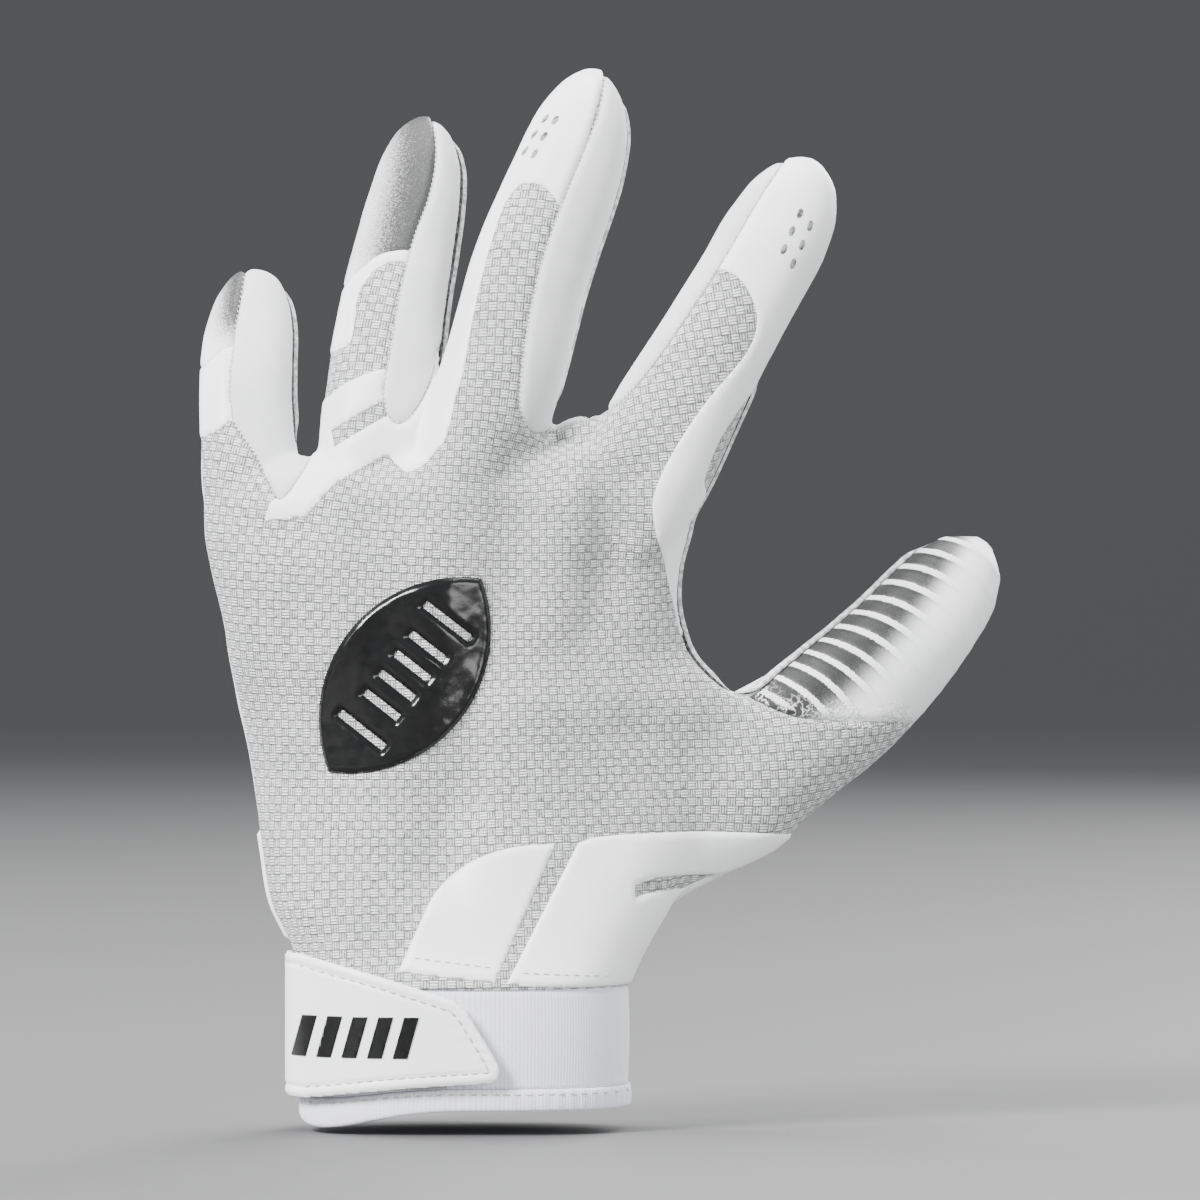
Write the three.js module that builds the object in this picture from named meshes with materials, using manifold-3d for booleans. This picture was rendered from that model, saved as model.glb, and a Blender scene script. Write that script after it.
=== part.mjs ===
// Football receiver glove for a left hand, stood up as it is worn and seen from its back: knit
// back, grip palm and thumb, stretch gussets between the fingers, thin film laid over the
// fingertips and knuckles, and a stretch cuff closed by a strap.
// Millimetres. +Z points from the wrist to the fingertips, +X towards the thumb, -Y is the back
// of the hand. The origin is the middle of the wrist opening.
import * as THREE from "three";
import { mergeVertices } from "three/addons/utils/BufferGeometryUtils.js";
import Module from "manifold-3d";

const wasm = await Module();
wasm.setup();

// Cloth
const WALL = 1.5;
const FILM = 0.8;
const GAP = 0.4;
const GUSSET_WRAP = 6;

// Cuff, strap and trims
const CUFF_HEIGHT = 26.4;
const CUFF_HALF_WIDTH = 36;
const CUFF_HALF_DEPTH = 25;
const CUFF_WALL = 2;
const BINDING_HEIGHT = 4.8;
const BINDING_WALL = 2.8;
const BINDING_DIP = 4;
const STRAP_WALL = 1.4;
const STRAP_HEIGHT = 31.5;
const STRAP_REACH = 8.4;
const STRAP_PALM_REACH = 6;
const HOOK_WALL = 1;
const HOOK_HEIGHT = 23;
const MARK_HEIGHT = 9;
const MARK_WIDTH = 3.2;
const MARK_PITCH = 5.6;
const MARK_COUNT = 5;

// Palm
const PALM_LENGTH = 118;
const PALM_HALF_WIDTH = 52;
const PALM_HALF_DEPTH = 16;
const PALM_ARCH = 7;

// Badge on the back
const BADGE_LENGTH = 54;
const BADGE_WIDTH = 31;
const BADGE_TILT = 52;
const BADGE_FILM = 1;
const BADGE_CUT = 1.7;

// Sides of each drawn shape, a share of them for the inside, and how far a face may be from it
const DIGIT_SIDES = 12;
const PALM_SIDES = 20;
const INNER_SHARE = 0.6;
const WRIST_SIDES = 32;
const CURVE_STEPS = 2;
const MIDDLE_STEP = 16;
const FINENESS = 0.1;

// Each digit starts inside the palm: across and up are shares of the palm's half width and
// length, back is a share of its half depth. A row is one section. along is a share of the
// length, lean and curl are degrees towards the thumb and towards the palm, and width and depth
// are shares of the half width and half depth.
const DIGITS = {
  pinky: {
    across: -0.875,
    up: 0.79,
    back: 0.25,
    length: 75,
    halfWidth: 10.6,
    halfDepth: 9.6,
    rows: [
      { along: 0, lean: -5, curl: 8, width: 0.8, depth: 0.7 },
      { along: 0.24, lean: -6, curl: 14, width: 1.02, depth: 1.02 },
      { along: 0.36, lean: -5, curl: 21, width: 0.98, depth: 1 },
      { along: 0.49, lean: -2, curl: 29, width: 0.95, depth: 0.97 },
      { along: 0.63, lean: 3, curl: 38, width: 0.93, depth: 0.95 },
      { along: 0.76, lean: 6, curl: 43, width: 0.87, depth: 0.88 },
      { along: 0.87, lean: 4, curl: 46, width: 0.72, depth: 0.74 },
      { along: 0.95, lean: 0, curl: 48, width: 0.47, depth: 0.5 },
      { along: 1, lean: 0, curl: 50, width: 0.14, depth: 0.14 },
    ],
  },
  ring: {
    across: -0.41,
    up: 0.79,
    back: 0,
    length: 108,
    halfWidth: 12.2,
    halfDepth: 10.6,
    rows: [
      { along: 0, lean: 3, curl: 4, width: 0.75, depth: 0.75 },
      { along: 0.16, lean: 4, curl: 7, width: 1, depth: 1.06 },
      { along: 0.25, lean: 5, curl: 12, width: 1, depth: 1.03 },
      { along: 0.37, lean: 7, curl: 17, width: 0.99, depth: 1 },
      { along: 0.48, lean: 8, curl: 22, width: 0.97, depth: 0.98 },
      { along: 0.57, lean: 10, curl: 26, width: 0.94, depth: 0.95 },
      { along: 0.68, lean: 12, curl: 29, width: 0.89, depth: 0.9 },
      { along: 0.8, lean: 11, curl: 33, width: 0.82, depth: 0.84 },
      { along: 0.89, lean: 6, curl: 35, width: 0.69, depth: 0.72 },
      { along: 0.96, lean: 0, curl: 37, width: 0.44, depth: 0.48 },
      { along: 1, lean: -2, curl: 38, width: 0.14, depth: 0.14 },
    ],
  },
  middle: {
    across: -0.04,
    up: 0.79,
    back: -0.12,
    length: 116,
    halfWidth: 13.2,
    halfDepth: 11,
    rows: [
      { along: 0, lean: 8, curl: 0, width: 0.75, depth: 0.75 },
      { along: 0.154, lean: 14, curl: 1, width: 1, depth: 1.08 },
      { along: 0.29, lean: 18, curl: 3, width: 1.01, depth: 1.03 },
      { along: 0.37, lean: 16, curl: 5, width: 1, depth: 1 },
      { along: 0.47, lean: 14, curl: 9, width: 0.99, depth: 0.98 },
      { along: 0.585, lean: 17, curl: 12, width: 0.98, depth: 0.96 },
      { along: 0.66, lean: 21, curl: 15, width: 0.95, depth: 0.93 },
      { along: 0.746, lean: 21, curl: 19, width: 0.91, depth: 0.9 },
      { along: 0.83, lean: 19, curl: 22, width: 0.85, depth: 0.84 },
      { along: 0.91, lean: 15, curl: 25, width: 0.69, depth: 0.7 },
      { along: 0.965, lean: 12, curl: 27, width: 0.44, depth: 0.46 },
      { along: 1, lean: 12, curl: 28, width: 0.15, depth: 0.15 },
    ],
  },
  index: {
    across: 0.53,
    up: 0.755,
    back: 0,
    length: 106,
    halfWidth: 13.4,
    halfDepth: 11,
    rows: [
      { along: 0, lean: 26, curl: 2, width: 0.7, depth: 0.7 },
      { along: 0.233, lean: 27, curl: 2, width: 1.03, depth: 1.06 },
      { along: 0.373, lean: 27, curl: 3, width: 1.01, depth: 1 },
      { along: 0.47, lean: 29, curl: 5, width: 0.96, depth: 0.97 },
      { along: 0.56, lean: 31, curl: 8, width: 0.91, depth: 0.94 },
      { along: 0.69, lean: 30, curl: 12, width: 0.87, depth: 0.9 },
      { along: 0.84, lean: 28, curl: 17, width: 0.84, depth: 0.86 },
      { along: 0.92, lean: 27, curl: 19, width: 0.7, depth: 0.72 },
      { along: 0.97, lean: 26, curl: 20, width: 0.46, depth: 0.48 },
      { along: 1, lean: 26, curl: 21, width: 0.16, depth: 0.16 },
    ],
  },
  thumb: {
    across: 0.74,
    up: 0.196,
    back: 0.5,
    length: 113,
    halfWidth: 15.5,
    halfDepth: 12.4,
    rows: [
      { along: 0, lean: 42, curl: 8, width: 0.6, depth: 0.6 },
      { along: 0.237, lean: 46, curl: 12, width: 1.1, depth: 1.12 },
      { along: 0.344, lean: 56, curl: 17, width: 1.06, depth: 1.08 },
      { along: 0.46, lean: 57, curl: 20, width: 0.99, depth: 1.02 },
      { along: 0.533, lean: 52, curl: 21, width: 0.95, depth: 0.98 },
      { along: 0.68, lean: 44, curl: 22, width: 0.87, depth: 0.93 },
      { along: 0.82, lean: 40, curl: 23, width: 0.78, depth: 0.84 },
      { along: 0.91, lean: 39, curl: 25, width: 0.66, depth: 0.7 },
      { along: 0.965, lean: 39, curl: 26, width: 0.44, depth: 0.48 },
      { along: 1, lean: 39, curl: 27, width: 0.16, depth: 0.16 },
    ],
  },
};

// Palm sections. up is a share of the palm's length; left and right of its half width; depth
// and shift of its half depth; arch of the knuckle arch. tilt lifts the thumb side by a share
// of the half width, and thin takes that share off the depth there.
const PALM_ROWS = [
  { up: 0.06, left: 0.72, right: 0.75, depth: 1.4, shift: 0, arch: 0.1, tilt: 0, thin: 0 },
  { up: 0.15, left: 0.815, right: 0.865, depth: 1.28, shift: 0, arch: 0.3, tilt: 0, thin: 0.05 },
  { up: 0.25, left: 0.855, right: 0.98, depth: 1.18, shift: 0, arch: 0.5, tilt: 0, thin: 0.15 },
  { up: 0.35, left: 0.89, right: 1.08, depth: 1.1, shift: 0, arch: 0.8, tilt: 0, thin: 0.3 },
  { up: 0.46, left: 0.935, right: 1.17, depth: 1.05, shift: -0.03, arch: 1.1, tilt: 0, thin: 0.5 },
  { up: 0.54, left: 0.97, right: 1.18, depth: 1.02, shift: -0.06, arch: 1.1, tilt: 0, thin: 0.6 },
  { up: 0.565, left: 0.98, right: 1.115, depth: 1, shift: -0.07, arch: 1, tilt: 0, thin: 0.6 },
  { up: 0.61, left: 1, right: 0.98, depth: 1, shift: -0.08, arch: 0.9, tilt: 0, thin: 0.5 },
  { up: 0.67, left: 1.02, right: 0.915, depth: 0.99, shift: -0.1, arch: 0.9, tilt: 0, thin: 0.3 },
  { up: 0.77, left: 1.07, right: 0.9, depth: 0.95, shift: -0.1, arch: 0.9, tilt: 0.01, thin: 0.2 },
  { up: 0.865, left: 1.105, right: 0.95, depth: 0.86, shift: -0.1, arch: 1, tilt: 0.03, thin: 0.1 },
  { up: 0.94, left: 1.095, right: 0.92, depth: 0.74, shift: -0.08, arch: 1, tilt: 0.05, thin: 0 },
  { up: 0.98, left: 1.05, right: 0.84, depth: 0.56, shift: -0.05, arch: 1, tilt: 0.06, thin: 0 },
  { up: 1, left: 0.96, right: 0.7, depth: 0.3, shift: 0, arch: 1, tilt: 0.05, thin: 0 },
];

const radians = THREE.MathUtils.degToRad;
const even = (count) => 2 * Math.round(count / 2);
const sidesAt = (sides, inset) => (inset > 0 ? even(sides * INNER_SHARE) : even(sides));
const power = (value, n) => Math.sign(value) * Math.abs(value) ** (2 / n);

// A closed surface as a solid, turned inside out if its faces point inwards.
function solid(geometry) {
  const bare = new THREE.BufferGeometry();
  bare.setAttribute("position", geometry.getAttribute("position"));
  bare.setIndex(geometry.getIndex());
  const merged = mergeVertices(bare, 1e-4);
  const triVerts = new Uint32Array(merged.getIndex().array);
  const vertProperties = merged.getAttribute("position").array;
  const made = new wasm.Manifold(new wasm.Mesh({ numProp: 3, vertProperties, triVerts }));
  if (made.volume() > 0) return made;
  for (let i = 0; i < triVerts.length; i += 3) {
    [triVerts[i + 1], triVerts[i + 2]] = [triVerts[i + 2], triVerts[i + 1]];
  }
  return new wasm.Manifold(new wasm.Mesh({ numProp: 3, vertProperties, triVerts }));
}

const join = (solids) => solids.reduce((whole, next) => whole.add(next));

// The largest body of a cut, without the slivers that the cut leaves beside it.
const largest = (cut) =>
  cut.decompose().reduce((best, body) => (body.volume() > best.volume() ? body : best));

// A closed skin over rings of points. Each end is capped by strips that run from back to palm,
// so that a curved section stays clean.
function skin(rings) {
  const sides = rings[0].length;
  const positions = rings.flat().flatMap((p) => [p.x, p.y, p.z]);
  const indices = [];
  for (let r = 0; r + 1 < rings.length; r += 1) {
    for (let s = 0; s < sides; s += 1) {
      const a = r * sides + s;
      const b = r * sides + ((s + 1) % sides);
      indices.push(a, b, a + sides, b, b + sides, a + sides);
    }
  }
  const last = (rings.length - 1) * sides;
  for (let s = 0; s + 1 < sides / 2; s += 1) {
    const [a, b, c, d] = [s, s + 1, sides - 2 - s, sides - 1 - s];
    indices.push(a, c, b, a, d, c, last + a, last + b, last + c, last + a, last + c, last + d);
  }
  const geometry = new THREE.BufferGeometry();
  geometry.setAttribute("position", new THREE.Float32BufferAttribute(positions, 3));
  geometry.setIndex(indices);
  return geometry;
}

// A digit's centre line, worked out from its rows: place, lean and curl at a share of its length.
function digitLine(digit) {
  const start = new THREE.Vector3(
    digit.across * PALM_HALF_WIDTH,
    digit.back * PALM_HALF_DEPTH,
    CUFF_HEIGHT + digit.up * PALM_LENGTH,
  );
  const direction = (lean, curl) =>
    new THREE.Vector3(
      Math.sin(radians(lean)) * Math.cos(radians(curl)),
      Math.sin(radians(curl)),
      Math.cos(radians(lean)) * Math.cos(radians(curl)),
    );
  const points = [start];
  for (let i = 1; i < digit.rows.length; i += 1) {
    const [a, b] = [digit.rows[i - 1], digit.rows[i]];
    const way = direction((a.lean + b.lean) / 2, (a.curl + b.curl) / 2);
    const step = (b.along - a.along) * digit.length;
    points.push(points[i - 1].clone().addScaledVector(way, step));
  }
  return (along) => {
    const share = Math.min(Math.max(along, 0), 1);
    const i = Math.max(1, digit.rows.findIndex((row) => row.along >= share));
    const [a, b] = [digit.rows[i - 1], digit.rows[i]];
    const t = (share - a.along) / (b.along - a.along);
    const mix = (key) => THREE.MathUtils.lerp(a[key], b[key], t);
    const [lean, curl] = [mix("lean"), mix("curl")];
    const tangent = direction(lean, curl);
    const across = new THREE.Vector3(Math.cos(radians(lean)), 0, -Math.sin(radians(lean)));
    return {
      point: points[i - 1].clone().lerp(points[i], t),
      across,
      outward: across.clone().cross(tangent),
    };
  };
}

const LINES = Object.fromEntries(
  Object.entries(DIGITS).map(([name, digit]) => [name, digitLine(digit)]),
);

// One digit as a tapering tube, its skin set in by inset.
function digitTube(name, inset) {
  const digit = DIGITS[name];
  const sides = sidesAt(DIGIT_SIDES, inset);
  const roundness = 2.15;
  return skin(
    digit.rows.map((row) => {
      const along = inset + row.along * (digit.length - 2 * inset);
      const frame = LINES[name](along / digit.length);
      return Array.from({ length: sides }, (_, s) => {
        const angle = ((s + 0.5) / sides) * Math.PI * 2;
        const sideways = power(Math.cos(angle), roundness) * (digit.halfWidth - inset);
        const outwards = power(Math.sin(angle), roundness) * (digit.halfDepth - inset);
        return frame.point
          .clone()
          .addScaledVector(frame.across, sideways * row.width)
          .addScaledVector(frame.outward, outwards * row.depth);
      });
    }),
  );
}

// A palm section's middle, half sizes and arch, set in by inset.
function palmSection(row, inset) {
  const height = PALM_LENGTH - inset;
  const left = -row.left * PALM_HALF_WIDTH;
  const right = row.right * PALM_HALF_WIDTH;
  return {
    x: (left + right) / 2,
    y: row.shift * PALM_HALF_DEPTH,
    z: CUFF_HEIGHT + row.up * height,
    halfWidth: (right - left) / 2 - inset,
    halfDepth: Math.max(row.depth * PALM_HALF_DEPTH - inset, WALL),
    arch: row.arch * PALM_ARCH,
    tilt: row.tilt * PALM_HALF_WIDTH,
    thin: row.thin,
  };
}

const wristSection = (z, inset) => ({
  x: 0,
  y: 0,
  z,
  halfWidth: CUFF_HALF_WIDTH - inset,
  halfDepth: CUFF_HALF_DEPTH - inset,
  arch: 0,
  tilt: 0,
  thin: 0,
});

// The point of a section at an angle, 0 at the thumb side and 90 degrees on the back.
function sectionPoint(section, angle) {
  const squareness = 2.4;
  const across = power(Math.cos(angle), squareness);
  const outward = power(Math.sin(angle), squareness);
  const halfDepth = section.halfDepth * (1 - section.thin * Math.max(across, 0));
  return new THREE.Vector3(
    section.x + section.halfWidth * across,
    section.y + section.arch * across ** 2 - halfDepth * outward,
    section.z + section.tilt * across,
  );
}

function sectionRing(section, sides) {
  return Array.from({ length: sides }, (_, s) =>
    sectionPoint(section, ((s + 0.5) / sides) * Math.PI * 2),
  );
}

// The whole hand from the cuff to the fingertips, with its skin set in by inset. One that cuts
// reaches down through the wrist opening too.
function hand(inset, cuts = false) {
  const sections = [
    ...(cuts ? [wristSection(0, inset)] : []),
    wristSection(CUFF_HEIGHT + GAP, inset),
    ...PALM_ROWS.map((row) => palmSection(row, inset)),
  ];
  const sides = sidesAt(PALM_SIDES, inset);
  const palm = skin(sections.map((section) => sectionRing(section, sides)));
  const digits = Object.keys(DIGITS).map((name) => solid(digitTube(name, inset)));
  return join([solid(palm), ...digits]);
}

// Points of the surface that runs through the middle of the hand, half way between back and palm.
const middlePoints = [
  ...PALM_ROWS.flatMap((row) => {
    const s = palmSection(row, 0);
    return [-0.9, -0.45, 0, 0.45, 0.9].map(
      (u) =>
        new THREE.Vector3(s.x + s.halfWidth * u, s.y + s.arch * u * u, s.z + s.tilt * u),
    );
  }),
  ...Object.keys(DIGITS).flatMap((name) =>
    Array.from({ length: 20 }, (_, i) => LINES[name](0.15 + (i / 19) * 0.85).point),
  ),
  ...[-1, -0.5, 0, 0.5, 1].map((u) => new THREE.Vector3(u * CUFF_HALF_WIDTH, 0, 0)),
];

function middleDepth(x, z) {
  const nearness = 3.4;
  let [sum, weights] = [0, 0];
  for (const p of middlePoints) {
    const weight = 1 / (1 + (p.x - x) ** 2 + (p.z - z) ** 2) ** (nearness / 2);
    sum += weight * p.y;
    weights += weight;
  }
  return sum / weights;
}

// Everything on the back's side of the middle surface moved by shift, or on the palm's side.
function halfSpace(side, shift) {
  const reach = 90;
  const [xLow, xHigh] = [-1.8 * PALM_HALF_WIDTH, PALM_HALF_WIDTH + DIGITS.thumb.length];
  const [zLow, zHigh] = [-20, CUFF_HEIGHT + PALM_LENGTH + DIGITS.middle.length + 20];
  const columns = Math.round((xHigh - xLow) / MIDDLE_STEP);
  const levels = Math.round((zHigh - zLow) / MIDDLE_STEP);
  const positions = [];
  const indices = [];
  const at = (layer, i, j) => (layer * (columns + 1) + i) * (levels + 1) + j;
  for (let layer = 0; layer < 2; layer += 1) {
    for (let i = 0; i <= columns; i += 1) {
      for (let j = 0; j <= levels; j += 1) {
        const [x, z] = [xLow + i * MIDDLE_STEP, zLow + j * MIDDLE_STEP];
        positions.push(x, layer ? side * reach : middleDepth(x, z) + shift, z);
      }
    }
  }
  const quad = (a, b, c, d) => indices.push(a, b, c, a, c, d);
  for (let i = 0; i < columns; i += 1) {
    for (let j = 0; j < levels; j += 1) {
      quad(at(0, i, j), at(0, i + 1, j), at(0, i + 1, j + 1), at(0, i, j + 1));
      quad(at(1, i, j), at(1, i, j + 1), at(1, i + 1, j + 1), at(1, i + 1, j));
    }
    quad(at(0, i, 0), at(1, i, 0), at(1, i + 1, 0), at(0, i + 1, 0));
    quad(at(0, i, levels), at(0, i + 1, levels), at(1, i + 1, levels), at(1, i, levels));
  }
  for (let j = 0; j < levels; j += 1) {
    quad(at(0, 0, j), at(0, 0, j + 1), at(1, 0, j + 1), at(1, 0, j));
    quad(at(0, columns, j), at(1, columns, j), at(1, columns, j + 1), at(0, columns, j + 1));
  }
  const geometry = new THREE.BufferGeometry();
  geometry.setAttribute("position", new THREE.Float32BufferAttribute(positions, 3));
  geometry.setIndex(indices);
  return solid(geometry);
}

const backSide = (shift) => halfSpace(-1, shift);
const palmSide = (shift) => halfSpace(1, shift);

// Outline points seen from the back, as (x, z). On a digit, along is a share of its length and
// across of its half width. On the palm, across is a share of its half width and up of its length.
function onDigit(name, along, across) {
  const frame = LINES[name](along);
  const beyond = Math.max(along - 1, 0) * DIGITS[name].length;
  const way = new THREE.Vector2(-frame.across.z, frame.across.x);
  return new THREE.Vector2(
    frame.point.x + across * DIGITS[name].halfWidth * frame.across.x + way.x * beyond,
    frame.point.z + across * DIGITS[name].halfWidth * frame.across.z + way.y * beyond,
  );
}

const onPalm = (across, up) =>
  new THREE.Vector2(across * PALM_HALF_WIDTH, CUFF_HEIGHT + up * PALM_LENGTH);

// A closed outline from stretches. A smooth curve runs through each one, with a corner between two.
function outline(...stretches) {
  return stretches.flatMap((points) => {
    if (points.length < 3) return points.slice(0, -1);
    const curve = new THREE.SplineCurve(points);
    return curve.getPoints((points.length - 1) * CURVE_STEPS).slice(0, -1);
  });
}

// The outline moved outwards by growth, or inwards where that is negative.
function grow(points, growth) {
  const turn = THREE.ShapeUtils.area(points) > 0 ? 1 : -1;
  return points.map((p, i) => {
    const before = points[(i + points.length - 1) % points.length];
    const after = points[(i + 1) % points.length];
    const normal = (a, b) => new THREE.Vector2(b.y - a.y, a.x - b.x).normalize();
    const out = normal(before, p).add(normal(p, after)).normalize();
    return p.clone().addScaledVector(out, growth * turn);
  });
}

// The outline pushed right through the hand, from the back to the palm.
function prism(points, growth = 0, holes = []) {
  const reach = 85;
  const shape = new THREE.Shape(grow(points, growth));
  shape.holes = holes.map((hole) => new THREE.Path(hole));
  const geometry = new THREE.ExtrudeGeometry(shape, { depth: 2 * reach, bevelEnabled: false });
  geometry.rotateX(Math.PI / 2).translate(0, reach, 0);
  return solid(geometry);
}

// A list of shares on one digit as outline points.
const digitPoints = (name, shares) => shares.map(([along, across]) => onDigit(name, along, across));
const palmPoints = (shares) => shares.map(([across, up]) => onPalm(across, up));

const shell = hand(0).subtract(hand(WALL, true));
const backHalf = backSide(-GAP / 2);
const palmHalf = palmSide(GAP / 2);

// Gussets: each is one strip over the side wall of a finger that shows from the back, down round
// the crotch and up the side wall of its neighbour. The points run from the fingertip down the
// back's seam.
const PINKY_SEAM = [
  [1.04, -0.2],
  [0.9, -0.25],
  [0.74, -0.3],
  [0.55, -0.32],
  [0.42, -0.24],
  [0.33, 0.02],
  [0.24, 0.42],
];
const RING_SEAM = [
  [1.04, 0.1],
  [0.93, 0.24],
  [0.82, 0.24],
  [0.7, 0.12],
  [0.57, 0.08],
  [0.45, 0.12],
  [0.35, 0.28],
  [0.3, 0.5],
];
const MIDDLE_SEAM = [
  [1.03, 0.12],
  [0.93, 0.2],
  [0.85, 0.16],
  [0.74, 0.12],
  [0.6, 0.14],
  [0.47, 0.2],
  [0.36, 0.34],
  [0.28, 0.62],
];
const INDEX_SEAM = [
  [1.06, -0.32],
  [0.9, -0.5],
  [0.7, -0.56],
  [0.5, -0.68],
  [0.42, -0.82],
  [0.36, -0.98],
];

const gussetOutlines = {
  gusset_pinky_ring: outline(
    digitPoints("pinky", PINKY_SEAM),
    [onDigit("pinky", 0.24, 0.42), onDigit("pinky", 0.22, 0.9), onDigit("ring", 0.17, -1.12)],
    [onDigit("ring", 0.17, -1.12), onDigit("ring", 0.27, -1.2)],
    [onDigit("ring", 0.27, -1.2), onDigit("pinky", 0.5, 1.35)],
    [onDigit("pinky", 0.5, 1.35), onDigit("pinky", 1.08, 1)],
    [onDigit("pinky", 1.08, 1), onDigit("pinky", 1.04, -0.2)],
  ),
  gusset_ring_middle: outline(
    digitPoints("ring", RING_SEAM),
    [onDigit("ring", 0.3, 0.5), onDigit("ring", 0.27, 0.85), onDigit("middle", 0.27, -1)],
    [onDigit("middle", 0.27, -1), onDigit("middle", 0.35, -1.13)],
    [onDigit("middle", 0.35, -1.13), onDigit("ring", 0.5, 1.06)],
    [onDigit("ring", 0.5, 1.06), onDigit("ring", 0.75, 1.04)],
    [onDigit("ring", 0.75, 1.04), onDigit("ring", 1.06, 1)],
    [onDigit("ring", 1.06, 1), onDigit("ring", 1.04, 0.1)],
  ),
  gusset_middle_index: outline(
    digitPoints("middle", MIDDLE_SEAM),
    [onDigit("middle", 0.28, 0.62), onPalm(0.38, 0.975), onPalm(0.49, 0.98)],
    [onPalm(0.49, 0.98), onDigit("index", 0.36, -0.98)],
    digitPoints("index", [...INDEX_SEAM].reverse()),
    [onDigit("index", 1.06, -0.32), onDigit("index", 1.06, -1.2)],
    [onDigit("index", 1.06, -1.2), onDigit("index", 0.5, -1.4)],
    [onDigit("index", 0.5, -1.4), onDigit("middle", 0.7, 1.5)],
    [onDigit("middle", 0.7, 1.5), onDigit("middle", 1.05, 1.2)],
    [onDigit("middle", 1.05, 1.2), onDigit("middle", 1.03, 0.12)],
  ),
};

// Where only the palm half of the neighbour's wall is gusset, as an outline seen from the back.
const neighbourOutlines = {
  gusset_pinky_ring: outline(
    digitPoints("ring", [
      [0.17, -0.5],
      [0.6, -0.5],
      [0.94, -0.35],
    ]),
    [onDigit("ring", 0.94, -0.35), onDigit("ring", 0.97, -1.3)],
    digitPoints("ring", [
      [0.97, -1.3],
      [0.55, -1.5],
      [0.3, -1.6],
      [0.17, -1.3],
    ]),
    [onDigit("ring", 0.17, -1.3), onDigit("ring", 0.17, -0.5)],
  ),
  gusset_ring_middle: outline(
    digitPoints("middle", [
      [0.2, -0.5],
      [0.6, -0.5],
      [0.94, -0.35],
    ]),
    [onDigit("middle", 0.94, -0.35), onDigit("middle", 0.97, -1.3)],
    digitPoints("middle", [
      [0.97, -1.3],
      [0.6, -1.4],
      [0.4, -1.5],
      [0.2, -1.5],
    ]),
    [onDigit("middle", 0.2, -1.5), onDigit("middle", 0.2, -0.5)],
  ),
  gusset_middle_index: outline(
    [onPalm(0.33, 0.965), onDigit("index", 0.29, -0.65)],
    digitPoints("index", [
      [0.29, -0.65],
      [0.45, -0.6],
      [0.6, -0.6],
    ]),
    [onDigit("index", 0.6, -0.6), onDigit("index", 0.6, -1.35)],
    digitPoints("index", [
      [0.6, -1.35],
      [0.45, -1.5],
      [0.38, -1.9],
    ]),
    [onDigit("index", 0.38, -1.9), onPalm(0.33, 0.965)],
  ),
};

function gussetRegion(name, growth) {
  const shown = prism(gussetOutlines[name], growth);
  const hidden = prism(neighbourOutlines[name], growth).intersect(palmSide(-growth));
  return shown.add(hidden).intersect(backSide(GUSSET_WRAP + growth));
}

// The thumb's grip panel covers its whole front, down to a curved seam across its root.
const thumbOutline = outline(
  [
    onPalm(1.12, 0.563),
    onPalm(1.24, 0.53),
    onPalm(1.4, 0.5),
    onPalm(1.6, 0.49),
    onPalm(1.84, 0.484),
    onPalm(2.1, 0.46),
  ],
  [onPalm(2.1, 0.46), onPalm(2.7, 0.6)],
  [onPalm(2.7, 0.6), onPalm(2.6, 1)],
  [onPalm(2.6, 1), onPalm(1.7, 0.86)],
  [onPalm(1.7, 0.86), onPalm(1.12, 0.563)],
);

const geometries = {};
const keep = (name, made) => {
  geometries[name] = largest(largest(made).simplify(FINENESS));
};

let backPanel = shell.intersect(backHalf).subtract(prism(thumbOutline, GAP / 2));
let palmPanel = shell.intersect(palmHalf);
for (const name of Object.keys(gussetOutlines)) {
  keep(name, shell.intersect(gussetRegion(name, -GAP / 2)));
  const cutter = gussetRegion(name, GAP / 2);
  backPanel = backPanel.subtract(cutter);
  palmPanel = palmPanel.subtract(cutter);
}
keep("back_panel", backPanel);
keep("palm_panel", palmPanel);
keep("thumb_panel", shell.intersect(backHalf).intersect(prism(thumbOutline, -GAP / 2)));

// Films lie on the back panel's outside, one gap clear of it, and end at the sides of the hand.
const filmLayer = (thickness) => hand(-GAP - thickness).subtract(hand(-GAP, true));
const film = filmLayer(FILM).intersect(backHalf);

keep(
  "pinky_tip_film",
  film.intersect(
    prism(
      outline(
        digitPoints("pinky", [...PINKY_SEAM.slice(0, 3), [0.7, -0.31]]),
        [onDigit("pinky", 0.7, -0.31), onDigit("pinky", 0.62, -0.9), onDigit("pinky", 0.58, -1.3)],
        [onDigit("pinky", 0.58, -1.3), onDigit("pinky", 1, -1.2)],
        [onDigit("pinky", 1, -1.2), onDigit("pinky", 1.1, -0.9)],
        [onDigit("pinky", 1.1, -0.9), onDigit("pinky", 1.04, -0.2)],
      ),
      -GAP / 2,
    ),
  ),
);
keep(
  "pinky_film",
  film.intersect(
    prism(
      outline(
        digitPoints("pinky", [
          [0.7, -0.31],
          [0.55, -0.32],
          [0.44, -0.26],
        ]),
        [onDigit("pinky", 0.44, -0.26), onDigit("pinky", 0.4, -0.7), onDigit("pinky", 0.34, -1.3)],
        [onDigit("pinky", 0.34, -1.3), onDigit("pinky", 0.58, -1.3)],
        [onDigit("pinky", 0.58, -1.3), onDigit("pinky", 0.62, -0.9), onDigit("pinky", 0.7, -0.31)],
      ),
      -GAP / 2,
    ),
  ),
);
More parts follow.
